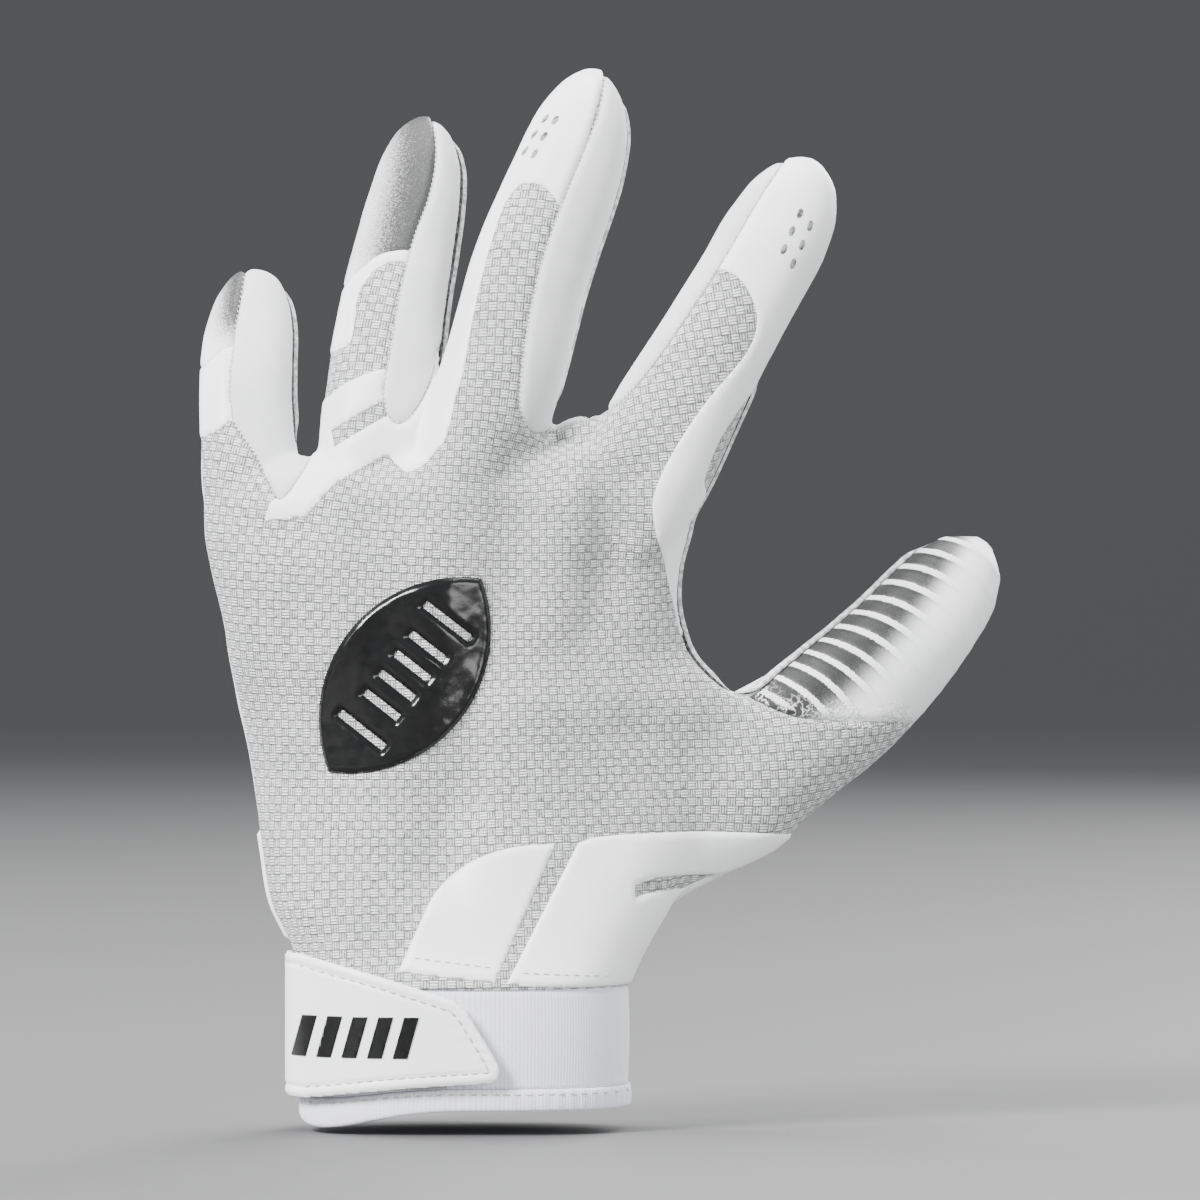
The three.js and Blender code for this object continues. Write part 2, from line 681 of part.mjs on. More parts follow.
keep(
  "ring_tip_film",
  film.intersect(
    prism(
      outline(
        digitPoints("ring", [
          [1.04, 0.1],
          [0.93, 0.24],
          [0.82, 0.24],
          [0.7, 0.12],
        ]),
        digitPoints("ring", [
          [0.66, 0.1],
          [0.655, -0.25],
          [0.59, -0.6],
          [0.52, -0.85],
          [0.5, -1.3],
        ]),
        [onDigit("ring", 0.5, -1.3), onDigit("ring", 0.9, -1.2)],
        [onDigit("ring", 0.9, -1.2), onDigit("ring", 1.06, -0.8)],
        [onDigit("ring", 1.06, -0.8), onDigit("ring", 1.04, 0.1)],
      ),
      -GAP / 2,
    ),
  ),
);
keep(
  "ring_film",
  film.intersect(
    prism(
      outline(
        digitPoints("ring", [
          [0.66, 0.1],
          [0.655, -0.25],
          [0.59, -0.6],
          [0.52, -0.85],
          [0.5, -1.3],
        ]),
        [onDigit("ring", 0.5, -1.3), onDigit("ring", 0.38, -1.3)],
        [onDigit("ring", 0.38, -1.3), onDigit("ring", 0.4, -0.9)],
        digitPoints("ring", [
          [0.4, -0.9],
          [0.44, -0.6],
          [0.52, -0.42],
          [0.6, -0.22],
          [0.63, 0.08],
        ]),
        [onDigit("ring", 0.63, 0.08), onDigit("ring", 0.66, 0.1)],
      ),
      -GAP / 2,
    ),
  ),
);
keep(
  "knuckle_film",
  film.intersect(
    prism(
      outline(
        digitPoints("middle", [
          [1.03, 0.12],
          [0.93, 0.2],
          [0.85, 0.16],
          [0.76, 0.12],
        ]),
        digitPoints("middle", [
          [0.76, 0.12],
          [0.775, -0.15],
          [0.76, -0.4],
          [0.68, -0.58],
          [0.55, -0.63],
          [0.4, -0.62],
          [0.27, -0.58],
          [0.2, -0.6],
        ]),
        [onDigit("middle", 0.2, -0.6), onPalm(-0.18, 0.963), onPalm(-0.25, 0.955)],
        [onPalm(-0.25, 0.955), onPalm(-0.29, 0.967), onPalm(-0.317, 0.986)],
        palmPoints([
          [-0.317, 0.986],
          [-0.427, 0.964],
          [-0.588, 0.914],
          [-0.664, 0.873],
        ]),
        [onPalm(-0.664, 0.873), onPalm(-0.83, 0.861)],
        [onPalm(-0.83, 0.861), onPalm(-0.77, 0.92), onPalm(-0.66, 0.95)],
        [onPalm(-0.66, 0.95), onPalm(-0.6, 1)],
        [onPalm(-0.6, 1), onDigit("ring", 0.3, -1.3)],
        [onDigit("ring", 0.3, -1.3), onDigit("ring", 0.35, -0.85)],
        digitPoints("ring", [
          [0.35, -0.85],
          [0.4, -0.35],
          [0.42, 0.08],
        ]),
        [onDigit("ring", 0.42, 0.08), onDigit("ring", 0.37, 0.16)],
        digitPoints("ring", [
          [0.37, 0.16],
          [0.34, -0.3],
          [0.28, -0.8],
        ]),
        [onDigit("ring", 0.28, -0.8), onDigit("ring", 0.25, -0.78)],
        digitPoints("ring", [
          [0.25, -0.78],
          [0.3, -0.3],
          [0.335, 0.24],
        ]),
        [onDigit("ring", 0.335, 0.24), onDigit("ring", 0.3, 0.46)],
        [onDigit("ring", 0.3, 0.46), onDigit("ring", 0.27, 0.82), onDigit("middle", 0.28, -0.94)],
        [onDigit("middle", 0.28, -0.94), onDigit("middle", 0.35, -1.3)],
        [onDigit("middle", 0.35, -1.3), onDigit("middle", 1, -1.1)],
        [onDigit("middle", 1, -1.1), onDigit("middle", 1.05, -0.3)],
        [onDigit("middle", 1.05, -0.3), onDigit("middle", 1.03, 0.12)],
      ),
      -GAP / 2,
    ),
  ),
);
keep(
  "index_film",
  film.intersect(
    prism(
      outline(
        digitPoints("index", [
          [1.06, -0.32],
          [0.9, -0.5],
          [0.72, -0.55],
        ]),
        digitPoints("index", [
          [0.72, -0.55],
          [0.74, -0.15],
          [0.71, 0.25],
          [0.6, 0.5],
          [0.42, 0.55],
          [0.3, 0.6],
          [0.2, 0.72],
        ]),
        [onDigit("index", 0.2, 0.72), onPalm(0.8, 0.78), onPalm(0.86, 0.7), onPalm(0.92, 0.64)],
        [onPalm(0.92, 0.64), onPalm(1.05, 0.66)],
        [onPalm(1.05, 0.66), onPalm(1.08, 0.8)],
        [onPalm(1.08, 0.8), onDigit("index", 0.5, 1.3)],
        [onDigit("index", 0.5, 1.3), onDigit("index", 0.95, 1.3)],
        [onDigit("index", 0.95, 1.3), onDigit("index", 1.12, 0.7)],
        [onDigit("index", 1.12, 0.7), onDigit("index", 1.06, -0.32)],
      ),
      -GAP / 2,
    ),
  ),
);

// Two smooth patches over the wrist. The thumb's patch has a slot that shows the knit.
keep(
  "wrist_patch",
  film.intersect(
    prism(
      outline(
        palmPoints([
          [-0.275, 0.034],
          [-0.208, 0.1],
          [-0.123, 0.177],
          [0.008, 0.23],
          [0.18, 0.26],
          [0.385, 0.269],
        ]),
        palmPoints([
          [0.385, 0.269],
          [0.13, 0.014],
        ]),
        palmPoints([
          [0.13, 0.014],
          [-0.275, 0.034],
        ]),
      ),
    ),
  ),
);
keep(
  "thumb_patch",
  film.intersect(
    prism(
      outline(
        palmPoints([
          [0.18, 0.012],
          [0.48, 0.27],
        ]),
        palmPoints([
          [0.48, 0.27],
          [0.56, 0.28],
          [0.74, 0.285],
          [1.05, 0.286],
          [1.4, 0.278],
        ]),
        palmPoints([
          [1.4, 0.278],
          [1.7, 0.26],
        ]),
        palmPoints([
          [1.7, 0.26],
          [1.3, 0.206],
        ]),
        palmPoints([
          [1.3, 0.206],
          [0.85, 0.203],
          [0.72, 0.19],
        ]),
        palmPoints([
          [0.72, 0.19],
          [0.72, 0.168],
        ]),
        palmPoints([
          [0.72, 0.168],
          [0.84, 0.178],
          [1.3, 0.188],
        ]),
        palmPoints([
          [1.3, 0.188],
          [1.3, 0.004],
        ]),
        palmPoints([
          [1.3, 0.004],
          [0.4, 0.004],
          [0.18, 0.012],
        ]),
      ),
    ),
  ),
);

// The heel patch on the palm's outer edge shows past the side of the hand.
keep(
  "heel_patch",
  filmLayer(FILM)
    .intersect(palmHalf)
    .intersect(
      prism(
        outline(
          palmPoints([
            [-1.3, 0.285],
            [-0.75, 0.285],
            [-0.4, 0.25],
            [-0.3, 0.16],
          ]),
          palmPoints([
            [-0.3, 0.16],
            [-0.45, 0.085],
          ]),
          palmPoints([
            [-0.45, 0.085],
            [-1.3, 0.085],
          ]),
          palmPoints([
            [-1.3, 0.085],
            [-1.3, 0.285],
          ]),
        ),
      ),
    ),
);

// A badge in the shape of a ball with laces, cut through to the knit along its laces and bands.
function badgeOutlines() {
  const half = BADGE_LENGTH / 2;
  const width = BADGE_WIDTH / 2;
  const radius = (half ** 2 + width ** 2) / (2 * width);
  const arc = Math.asin(half / radius);
  const turn = radians(BADGE_TILT);
  const middle = onPalm(-0.25, 0.58);
  const place = (along, across) =>
    new THREE.Vector2(along, across).rotateAround(new THREE.Vector2(0, 0), turn).add(middle);
  const steps = 12;
  const side = (sign) =>
    Array.from({ length: steps }, (_, i) => {
      const angle = arc * ((2 * i) / steps - 1) * sign;
      return place(radius * Math.sin(angle), sign * (width - radius + radius * Math.cos(angle)));
    });
  const slot = (along, across, halfAlong, halfAcross) => [
    place(along - halfAlong, across - halfAcross),
    place(along + halfAlong, across - halfAcross),
    place(along + halfAlong, across + halfAcross),
    place(along - halfAlong, across + halfAcross),
  ];
  const bands = [-1, 1].map((sign) => slot(sign * half * 0.56, 0, BADGE_CUT / 2, width * 0.4));
  const laces = [-1.5, -0.5, 0.5, 1.5].map((n) =>
    slot(n * half * 0.2, 0, BADGE_CUT / 2, width * 0.3),
  );
  return { edge: [...side(1).reverse(), ...side(-1).reverse()], holes: [...bands, ...laces] };
}
const badge = badgeOutlines();
keep(
  "back_badge",
  filmLayer(BADGE_FILM).intersect(backHalf).intersect(prism(badge.edge, 0, badge.holes)),
);

// A band round the wrist between two offsets from the cuff's outside. bottom and top give its
// height at an angle.
function wristBand(inner, outer, bottom, top) {
  const corner = (offset, height) =>
    Array.from({ length: WRIST_SIDES }, (_, s) => {
      const angle = (s / WRIST_SIDES) * Math.PI * 2;
      return sectionPoint(wristSection(height(angle), -offset), angle);
    });
  const rings = [
    corner(inner, bottom),
    corner(outer, bottom),
    corner(outer, top),
    corner(inner, top),
  ];
  const positions = rings.flat().flatMap((p) => [p.x, p.y, p.z]);
  const indices = [];
  for (let r = 0; r < rings.length; r += 1) {
    for (let s = 0; s < WRIST_SIDES; s += 1) {
      const next = (s + 1) % WRIST_SIDES;
      const above = ((r + 1) % rings.length) * WRIST_SIDES;
      const [a, b] = [r * WRIST_SIDES + s, r * WRIST_SIDES + next];
      indices.push(a, b, above + s, b, above + next, above + s);
    }
  }
  const geometry = new THREE.BufferGeometry();
  geometry.setAttribute("position", new THREE.Float32BufferAttribute(positions, 3));
  geometry.setIndex(indices);
  return solid(geometry);
}

// The hem dips where the front flap ends, on the back's outer side.
const dipAt = (angle) => {
  const share = Math.max(0, Math.cos((angle - radians(148)) * 1.5));
  const near = Math.abs(angle - radians(148)) < radians(60) ? 1 : 0;
  return BINDING_DIP * near * share ** 2;
};
const level = (height) => () => height;
const hemTop = (angle) => BINDING_HEIGHT - dipAt(angle) * 0.6;

keep(
  "cuff_band",
  wristBand(-CUFF_WALL, 0, (angle) => hemTop(angle) + GAP, level(CUFF_HEIGHT)),
);
const bindingInner = -(CUFF_WALL + BINDING_WALL) / 2;
keep(
  "cuff_binding",
  wristBand(bindingInner, bindingInner + BINDING_WALL, (angle) => -dipAt(angle), hemTop),
);

// The hook pad lies on the cuff, and the strap on the hook pad. Both run from the palm round the
// outer side to the back.
const hookInner = GAP + (BINDING_WALL - CUFF_WALL) / 2;
const strapInner = hookInner + HOOK_WALL + GAP;
const strapMiddle = CUFF_HEIGHT * 0.69;
const hookBottom = BINDING_HEIGHT - BINDING_DIP * 0.6;
const outerReach = 2 * CUFF_HALF_WIDTH;
const frontHalf = backSide(0);
const rearHalf = palmSide(-GAP);

function strapRegion(frontPoints, rearPoints) {
  return prism(frontPoints).intersect(frontHalf).add(prism(rearPoints).intersect(rearHalf));
}

const strapTop = strapMiddle + STRAP_HEIGHT / 2;
const strapBottom = strapMiddle - STRAP_HEIGHT / 2;
const point = (x, z) => new THREE.Vector2(x, z);
const frontStrap = outline(
  [point(-outerReach, strapTop), point(-CUFF_HALF_WIDTH, strapTop)],
  [
    point(-CUFF_HALF_WIDTH, strapTop),
    point(-CUFF_HALF_WIDTH * 0.55, strapTop - STRAP_HEIGHT * 0.13),
    point(STRAP_REACH - STRAP_HEIGHT * 0.28, strapTop - STRAP_HEIGHT * 0.29),
  ],
  [
    point(STRAP_REACH - STRAP_HEIGHT * 0.28, strapTop - STRAP_HEIGHT * 0.29),
    point(STRAP_REACH - STRAP_HEIGHT * 0.2, strapTop - STRAP_HEIGHT * 0.33),
    point(STRAP_REACH - STRAP_HEIGHT * 0.01, strapBottom + STRAP_HEIGHT * 0.22),
    point(STRAP_REACH - STRAP_HEIGHT * 0.06, strapBottom + STRAP_HEIGHT * 0.13),
  ],
  [
    point(STRAP_REACH - STRAP_HEIGHT * 0.06, strapBottom + STRAP_HEIGHT * 0.13),
    point(-CUFF_HALF_WIDTH * 0.4, strapBottom + STRAP_HEIGHT * 0.09),
    point(-CUFF_HALF_WIDTH, strapBottom),
  ],
  [point(-CUFF_HALF_WIDTH, strapBottom), point(-outerReach, strapBottom)],
  [point(-outerReach, strapBottom), point(-outerReach, strapTop)],
);
const rearStrap = [
  point(-outerReach, strapBottom),
  point(STRAP_PALM_REACH, strapBottom + STRAP_HEIGHT * 0.09),
  point(STRAP_PALM_REACH, strapTop - STRAP_HEIGHT * 0.2),
  point(-CUFF_HALF_WIDTH * 0.6, strapTop - STRAP_HEIGHT * 0.1),
  point(-outerReach, strapTop),
];
const strapTube = (inner, outer) =>
  wristBand(inner, outer, level(strapBottom - 1), level(strapTop + 1));
keep(
  "closure_strap",
  strapTube(strapInner, strapInner + STRAP_WALL).intersect(strapRegion(frontStrap, rearStrap)),
);
const hookFront = [
  point(-outerReach, hookBottom),
  point(-CUFF_HALF_WIDTH * 0.1, BINDING_HEIGHT + GAP),
  point(-CUFF_HALF_WIDTH * 0.1, hookBottom + HOOK_HEIGHT * 0.8),
  point(-outerReach, hookBottom + HOOK_HEIGHT),
];
const hookRear = [
  point(-outerReach, hookBottom),
  point(0, hookBottom),
  point(0, hookBottom + HOOK_HEIGHT),
  point(-outerReach, hookBottom + HOOK_HEIGHT),
];
keep(
  "hook_pad",
  wristBand(hookInner, hookInner + HOOK_WALL, level(0), level(CUFF_HEIGHT)).intersect(
    strapRegion(hookFront, hookRear),
  ),
);

// Plain slanted bars on the strap.
const markInner = strapInner + STRAP_WALL + GAP;
const markTube = strapTube(markInner, markInner + FILM);
for (let i = 0; i < MARK_COUNT; i += 1) {
  const x = -CUFF_HALF_WIDTH * 0.66 + (i - (MARK_COUNT - 1) / 2) * MARK_PITCH;
  const slant = MARK_HEIGHT * 0.28;
  const [low, high] = [strapMiddle - 2 - MARK_HEIGHT / 2, strapMiddle - 2 + MARK_HEIGHT / 2];
  const bar = [
    point(x - MARK_WIDTH / 2 - slant / 2, low),
    point(x + MARK_WIDTH / 2 - slant / 2, low),
    point(x + MARK_WIDTH / 2 + slant / 2, high),
    point(x - MARK_WIDTH / 2 + slant / 2, high),
  ];
  keep(`strap_mark_${i + 1}`, markTube.intersect(frontHalf).intersect(prism(bar)));
}

// Finishes, by the piece's name.
const finish = (color, roughness) =>
  new THREE.MeshStandardMaterial({ color, roughness, metalness: 0 });
const knit = finish(0xc9cacb, 0.9);
const grip = finish(0xe4e4e5, 0.45);
const stretch = finish(0xdcdcde, 0.7);
const smoothFilm = finish(0xececec, 0.4);
const speckled = finish(0xb4b4b6, 0.55);
const leather = finish(0xf3f3f4, 0.5);
const cuffKnit = finish(0xe2e1ea, 0.85);
const hook = finish(0xc8c8cc, 0.9);
const rubber = finish(0x0b0b0c, 0.3);
const FINISHES = {
  back_panel: knit,
  palm_panel: grip,
  thumb_panel: grip,
  gusset_pinky_ring: stretch,
  gusset_ring_middle: stretch,
  gusset_middle_index: stretch,
  pinky_tip_film: speckled,
  ring_tip_film: speckled,
  wrist_patch: leather,
  thumb_patch: leather,
  heel_patch: leather,
  cuff_band: cuffKnit,
  cuff_binding: cuffKnit,
  closure_strap: leather,
  hook_pad: hook,
  back_badge: rubber,
};

const glove = new THREE.Group();
for (const [name, made] of Object.entries(geometries)) {
  const { vertProperties, triVerts, numProp } = made.getMesh();
  const geometry = new THREE.BufferGeometry();
  const stride = new THREE.InterleavedBuffer(new Float32Array(vertProperties), numProp);
  geometry.setAttribute("position", new THREE.InterleavedBufferAttribute(stride, 3, 0));
  geometry.setIndex(new THREE.BufferAttribute(new Uint32Array(triVerts), 1));
  const fallback = name.startsWith("strap_mark") ? rubber : smoothFilm;
  const mesh = new THREE.Mesh(geometry, FINISHES[name] ?? fallback);
  mesh.name = name;
  glove.add(mesh);
}

export default glove;
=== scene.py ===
import math

import bpy
import numpy as np
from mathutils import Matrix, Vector, noise
from mathutils.bvhtree import BVHTree
from mathutils.kdtree import KDTree


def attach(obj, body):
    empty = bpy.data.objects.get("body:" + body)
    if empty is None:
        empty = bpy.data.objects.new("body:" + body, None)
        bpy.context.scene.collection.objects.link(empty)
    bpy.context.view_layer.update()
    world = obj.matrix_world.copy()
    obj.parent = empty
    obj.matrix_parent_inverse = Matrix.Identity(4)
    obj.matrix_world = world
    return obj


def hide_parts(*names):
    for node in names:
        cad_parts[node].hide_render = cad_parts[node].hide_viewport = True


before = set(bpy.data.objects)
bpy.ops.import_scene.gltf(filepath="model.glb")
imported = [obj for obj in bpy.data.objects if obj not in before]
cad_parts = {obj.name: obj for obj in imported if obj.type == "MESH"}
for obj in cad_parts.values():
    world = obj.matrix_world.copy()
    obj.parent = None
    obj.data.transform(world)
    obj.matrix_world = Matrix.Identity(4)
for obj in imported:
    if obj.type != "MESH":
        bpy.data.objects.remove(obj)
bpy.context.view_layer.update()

# Camera, floor and light. The glove is seen straight on from its back, a degree from above. The
# floor is a pale sheet that curves up behind it, lit by wide soft lamps from the front and sides.
MM = 0.001
VIEW_WIDTH = 264 * MM
DISTANCE = 2.4
AIM = Vector((29.7 * MM, 0, 111.1 * MM))
TILT = math.radians(1)
FLOOR = -5.4 * MM


def drawn(name, points):
    """A grid whose vertices are laid at points, an array of rows, columns and places."""
    rows, columns = points.shape[:2]
    bpy.ops.object.select_all(action="DESELECT")
    bpy.ops.mesh.primitive_grid_add(x_subdivisions=columns - 1, y_subdivisions=rows - 1, size=1)
    piece = bpy.context.active_object
    piece.name = piece.data.name = name
    flat = np.empty(len(piece.data.vertices) * 3)
    piece.data.vertices.foreach_get("co", flat)
    flat = flat.reshape(-1, 3)
    column = np.rint((flat[:, 0] + 0.5) * (columns - 1)).astype(int)
    row = np.rint((flat[:, 1] + 0.5) * (rows - 1)).astype(int)
    piece.data.vertices.foreach_set("co", points[row, column].ravel())
    piece.data.update()
    return piece


bpy.ops.object.camera_add(
    location=AIM + Vector((0, -math.cos(TILT), math.sin(TILT))) * DISTANCE,
    rotation=(math.radians(90) - TILT, 0, 0),
)
camera = bpy.context.active_object
camera.data.sensor_width = 36
camera.data.lens = 36 * DISTANCE / VIEW_WIDTH
camera.data.clip_end = 20
bpy.context.scene.camera = camera

sweep = [(y, FLOOR) for y in (-6, -3, -1, 0, 1, 2, 3)]
sweep += [
    (3 + 2.5 * math.sin(a), FLOOR + 2.5 - 2.5 * math.cos(a))
    for a in np.linspace(0, math.pi / 2, 33)[1:]
]
sweep += [(5.5, 3.5), (5.5, 5)]
floor = drawn(
    "floor", np.array([[(x, y, z) for x in np.linspace(-6, 6, 9)] for y, z in sweep])
)
bpy.ops.object.shade_smooth()
floor_finish = bpy.data.materials.new("pale floor")
floor_finish.use_nodes = True
floor_shader = floor_finish.node_tree.nodes["Principled BSDF"]
floor_shader.inputs["Base Color"].default_value = (0.1, 0.1, 0.101, 1)
floor_shader.inputs["Roughness"].default_value = 0.7
floor.data.materials.append(floor_finish)


def lamp(name, place, size, power):
    bpy.ops.object.light_add(type="AREA", location=place)
    made = bpy.context.active_object
    made.name = name
    made.data.shape = "RECTANGLE"
    made.data.size, made.data.size_y = size
    made.data.energy = power
    made.rotation_euler = (AIM - Vector(place)).to_track_quat("-Z", "Y").to_euler()


lamp("key", (-1.4, -1.3, 1.4), (0.7, 0.7), 175)
lamp("fill", (1.4, -1.6, 0.5), (1.2, 1.2), 40)
lamp("top", (0.3, 0.3, 1.6), (1.2, 0.8), 50)
lamp("rim", (-1.2, 0.9, 0.6), (0.5, 1.0), 24)
lamp("back", (0.9, 1.6, 0.9), (1.0, 1.0), 50)
bpy.context.scene.world = bpy.data.worlds.new("room")
bpy.context.scene.world.use_nodes = True
room = bpy.context.scene.world.node_tree.nodes["Background"]
room.inputs["Color"].default_value = (0.9, 0.95, 1, 1)
room.inputs["Strength"].default_value = 0.6

# The form that all panels are cut from: the filled hand. The palm and the five digits are drawn
# as rings, joined into one skin, and then pressed where the cloth dips between the tendons.
PALM = dict(z=26.4, length=118, half_width=52, half_depth=16, arch=7)
PALM_ROWS = [  # up, left, right, depth, shift, arch, tilt, thin
    (-0.14, 0.692, 0.692, 1.5625, 0, 0, 0, 0),
    (-0.06, 0.692, 0.692, 1.5625, 0, 0, 0, 0),
    (0.003, 0.692, 0.692, 1.5625, 0, 0, 0, 0),
    (0.06, 0.72, 0.75, 1.4, 0, 0.1, 0, 0),
    (0.15, 0.815, 0.865, 1.28, 0, 0.3, 0, 0.05),
    (0.25, 0.855, 0.98, 1.18, 0, 0.5, 0, 0.15),
    (0.35, 0.89, 1.08, 1.1, 0, 0.8, 0, 0.3),
    (0.46, 0.935, 1.17, 1.05, -0.03, 1.1, 0, 0.5),
    (0.54, 0.97, 1.18, 1.02, -0.06, 1.1, 0, 0.6),
    (0.565, 0.98, 1.115, 1, -0.07, 1, 0, 0.6),
    (0.61, 1, 0.98, 1, -0.08, 0.9, 0, 0.5),
    (0.67, 1.02, 0.915, 0.99, -0.1, 0.9, 0, 0.3),
    (0.77, 1.07, 0.9, 0.95, -0.1, 0.9, 0.01, 0.2),
    (0.865, 1.105, 0.95, 0.86, -0.1, 1, 0.03, 0.1),
    (0.94, 1.095, 0.92, 0.74, -0.08, 1, 0.05, 0),
    (0.98, 1.05, 0.84, 0.56, -0.05, 1, 0.06, 0),
    (1, 0.96, 0.7, 0.3, 0, 1, 0.05, 0),
]
DIGITS = {  # across, up, back, length, half width, half depth, rows
    "pinky": (-0.875, 0.79, 0.25, 75, 10.6, 9.6, [
        (0, -5, 8, 0.8, 0.7), (0.24, -6, 14, 1.02, 1.02), (0.36, -5, 21, 0.98, 1),
        (0.49, -2, 29, 0.95, 0.97), (0.63, 3, 38, 0.93, 0.95), (0.76, 6, 43, 0.87, 0.88),
        (0.87, 4, 46, 0.72, 0.74), (0.95, 0, 48, 0.47, 0.5), (1, 0, 50, 0.14, 0.14),
    ]),
    "ring": (-0.41, 0.79, 0, 108, 12.2, 10.6, [
        (0, 3, 4, 0.75, 0.75), (0.16, 4, 7, 1, 1.06), (0.25, 5, 12, 1, 1.03),
        (0.37, 7, 17, 0.99, 1), (0.48, 8, 22, 0.97, 0.98), (0.57, 10, 26, 0.94, 0.95),
        (0.68, 12, 29, 0.89, 0.9), (0.8, 11, 33, 0.82, 0.84), (0.89, 6, 35, 0.69, 0.72),
        (0.96, 0, 37, 0.44, 0.48), (1, -2, 38, 0.14, 0.14),
    ]),
    "middle": (-0.04, 0.79, -0.12, 116, 13.2, 11, [
        (0, 8, 0, 0.75, 0.75), (0.154, 14, 1, 1, 1.08), (0.29, 18, 3, 1.01, 1.03),
        (0.37, 16, 5, 1, 1), (0.47, 14, 9, 0.99, 0.98), (0.585, 17, 12, 0.98, 0.96),
        (0.66, 21, 15, 0.95, 0.93), (0.746, 21, 19, 0.91, 0.9), (0.83, 19, 22, 0.85, 0.84),
        (0.91, 15, 25, 0.69, 0.7), (0.965, 12, 27, 0.44, 0.46), (1, 12, 28, 0.15, 0.15),
    ]),
    "index": (0.53, 0.755, 0, 106, 13.4, 11, [
        (0, 26, 2, 0.7, 0.7), (0.233, 27, 2, 1.03, 1.06), (0.373, 27, 3, 1.01, 1),
        (0.47, 29, 5, 0.96, 0.97), (0.56, 31, 8, 0.91, 0.94), (0.69, 30, 12, 0.87, 0.9),
        (0.84, 28, 17, 0.84, 0.86), (0.92, 27, 19, 0.7, 0.72), (0.97, 26, 20, 0.46, 0.48),
        (1, 26, 21, 0.16, 0.16),
    ]),
    "thumb": (0.74, 0.196, 0.5, 113, 15.5, 12.4, [
        (0, 42, 8, 0.6, 0.6), (0.237, 46, 12, 1.1, 1.12), (0.344, 56, 17, 1.06, 1.08),
        (0.46, 57, 20, 0.99, 1.02), (0.533, 52, 21, 0.95, 0.98), (0.68, 44, 22, 0.87, 0.93),
        (0.82, 40, 23, 0.78, 0.84), (0.91, 39, 25, 0.66, 0.7), (0.965, 39, 26, 0.44, 0.48),
        (1, 39, 27, 0.16, 0.16),
    ]),
}


def through(stops, values, at):
    """Values at the given stops' shares, on a smooth curve through all of them."""
    stops, values = np.asarray(stops, float), np.asarray(values, float)
    at = np.clip(np.asarray(at, float), stops[0], stops[-1])
    slopes = np.gradient(values, stops, axis=0)
    i = np.clip(np.searchsorted(stops, at, side="right") - 1, 0, len(stops) - 2)
    width = stops[i + 1] - stops[i]
    t = (at - stops[i]) / width
    if values.ndim > 1:
        width, t = width[:, None], t[:, None]
    return (
        (2 * t**3 - 3 * t**2 + 1) * values[i]
        + (t**3 - 2 * t**2 + t) * width * slopes[i]
        + (3 * t**2 - 2 * t**3) * values[i + 1]
        + (t**3 - t**2) * width * slopes[i + 1]
    )


def signed_power(values, exponent):
    return np.sign(values) * np.abs(values) ** exponent


def palm_section(row):
    up, left, right, depth, shift, arch, tilt, thin = row
    return dict(
        x=(right - left) / 2 * PALM["half_width"],
        y=shift * PALM["half_depth"],
        z=PALM["z"] + up * PALM["length"],
        half_width=(left + right) / 2 * PALM["half_width"],
        half_depth=depth * PALM["half_depth"],
        arch=arch * PALM["arch"],
        tilt=tilt * PALM["half_width"],
        thin=thin,
    )


def section_ring(s, angle):
    """Points of a section in millimetres, at angles from the thumb side round by the palm."""
    across = signed_power(np.cos(angle), 2 / 2.4)
    outward = -signed_power(np.sin(angle), 2 / 2.4)
    depth = s["half_depth"] * (1 - s["thin"] * np.maximum(across, 0))
    return np.stack(
        [
            s["x"] + s["half_width"] * across,
            s["y"] + s["arch"] * across**2 - depth * outward,
            s["z"] + s["tilt"] * across,
        ],
        axis=-1,
    )


def digit_line(name, along):
    """Middle, sideways and outward directions of a digit at shares of its length."""
    across, up, back, length, _, _, rows = DIGITS[name]
    lean, curl = (np.radians([row[k] for row in rows]) for k in (1, 2))
    stops = np.array([row[0] for row in rows])

    def heading(lean, curl):
        return np.stack(
            [np.sin(lean) * np.cos(curl), np.sin(curl), np.cos(lean) * np.cos(curl)], axis=-1
        )

    ways = heading((lean[1:] + lean[:-1]) / 2, (curl[1:] + curl[:-1]) / 2)
    steps = ways * np.diff(stops)[:, None] * length
    start = [across * PALM["half_width"], back * PALM["half_depth"], PALM["z"] + up * PALM["length"]]
    middles = np.vstack([start, start + np.cumsum(steps, axis=0)])
    lean, curl = through(stops, lean, along), through(stops, curl, along)
    side = np.stack([np.cos(lean), 0 * lean, -np.sin(lean)], axis=-1)
    return through(stops, middles, along), side, np.cross(side, heading(lean, curl))


def digit_rings(name, steps, sides):
    _, _, _, _, half_width, half_depth, rows = DIGITS[name]
    along = np.linspace(0, 1, steps)
    middle, side, out = digit_line(name, along)
    sizes = through([row[0] for row in rows], [row[3:] for row in rows], along)
    angle = np.linspace(0, 2 * np.pi, sides + 1)
    across = signed_power(np.cos(angle), 2 / 2.15)[None, :, None] * half_width
    outward = -signed_power(np.sin(angle), 2 / 2.15)[None, :, None] * half_depth
    return (
        middle[:, None]
        + across * side[:, None] * sizes[:, 0, None, None]
        + outward * out[:, None] * sizes[:, 1, None, None]
    )


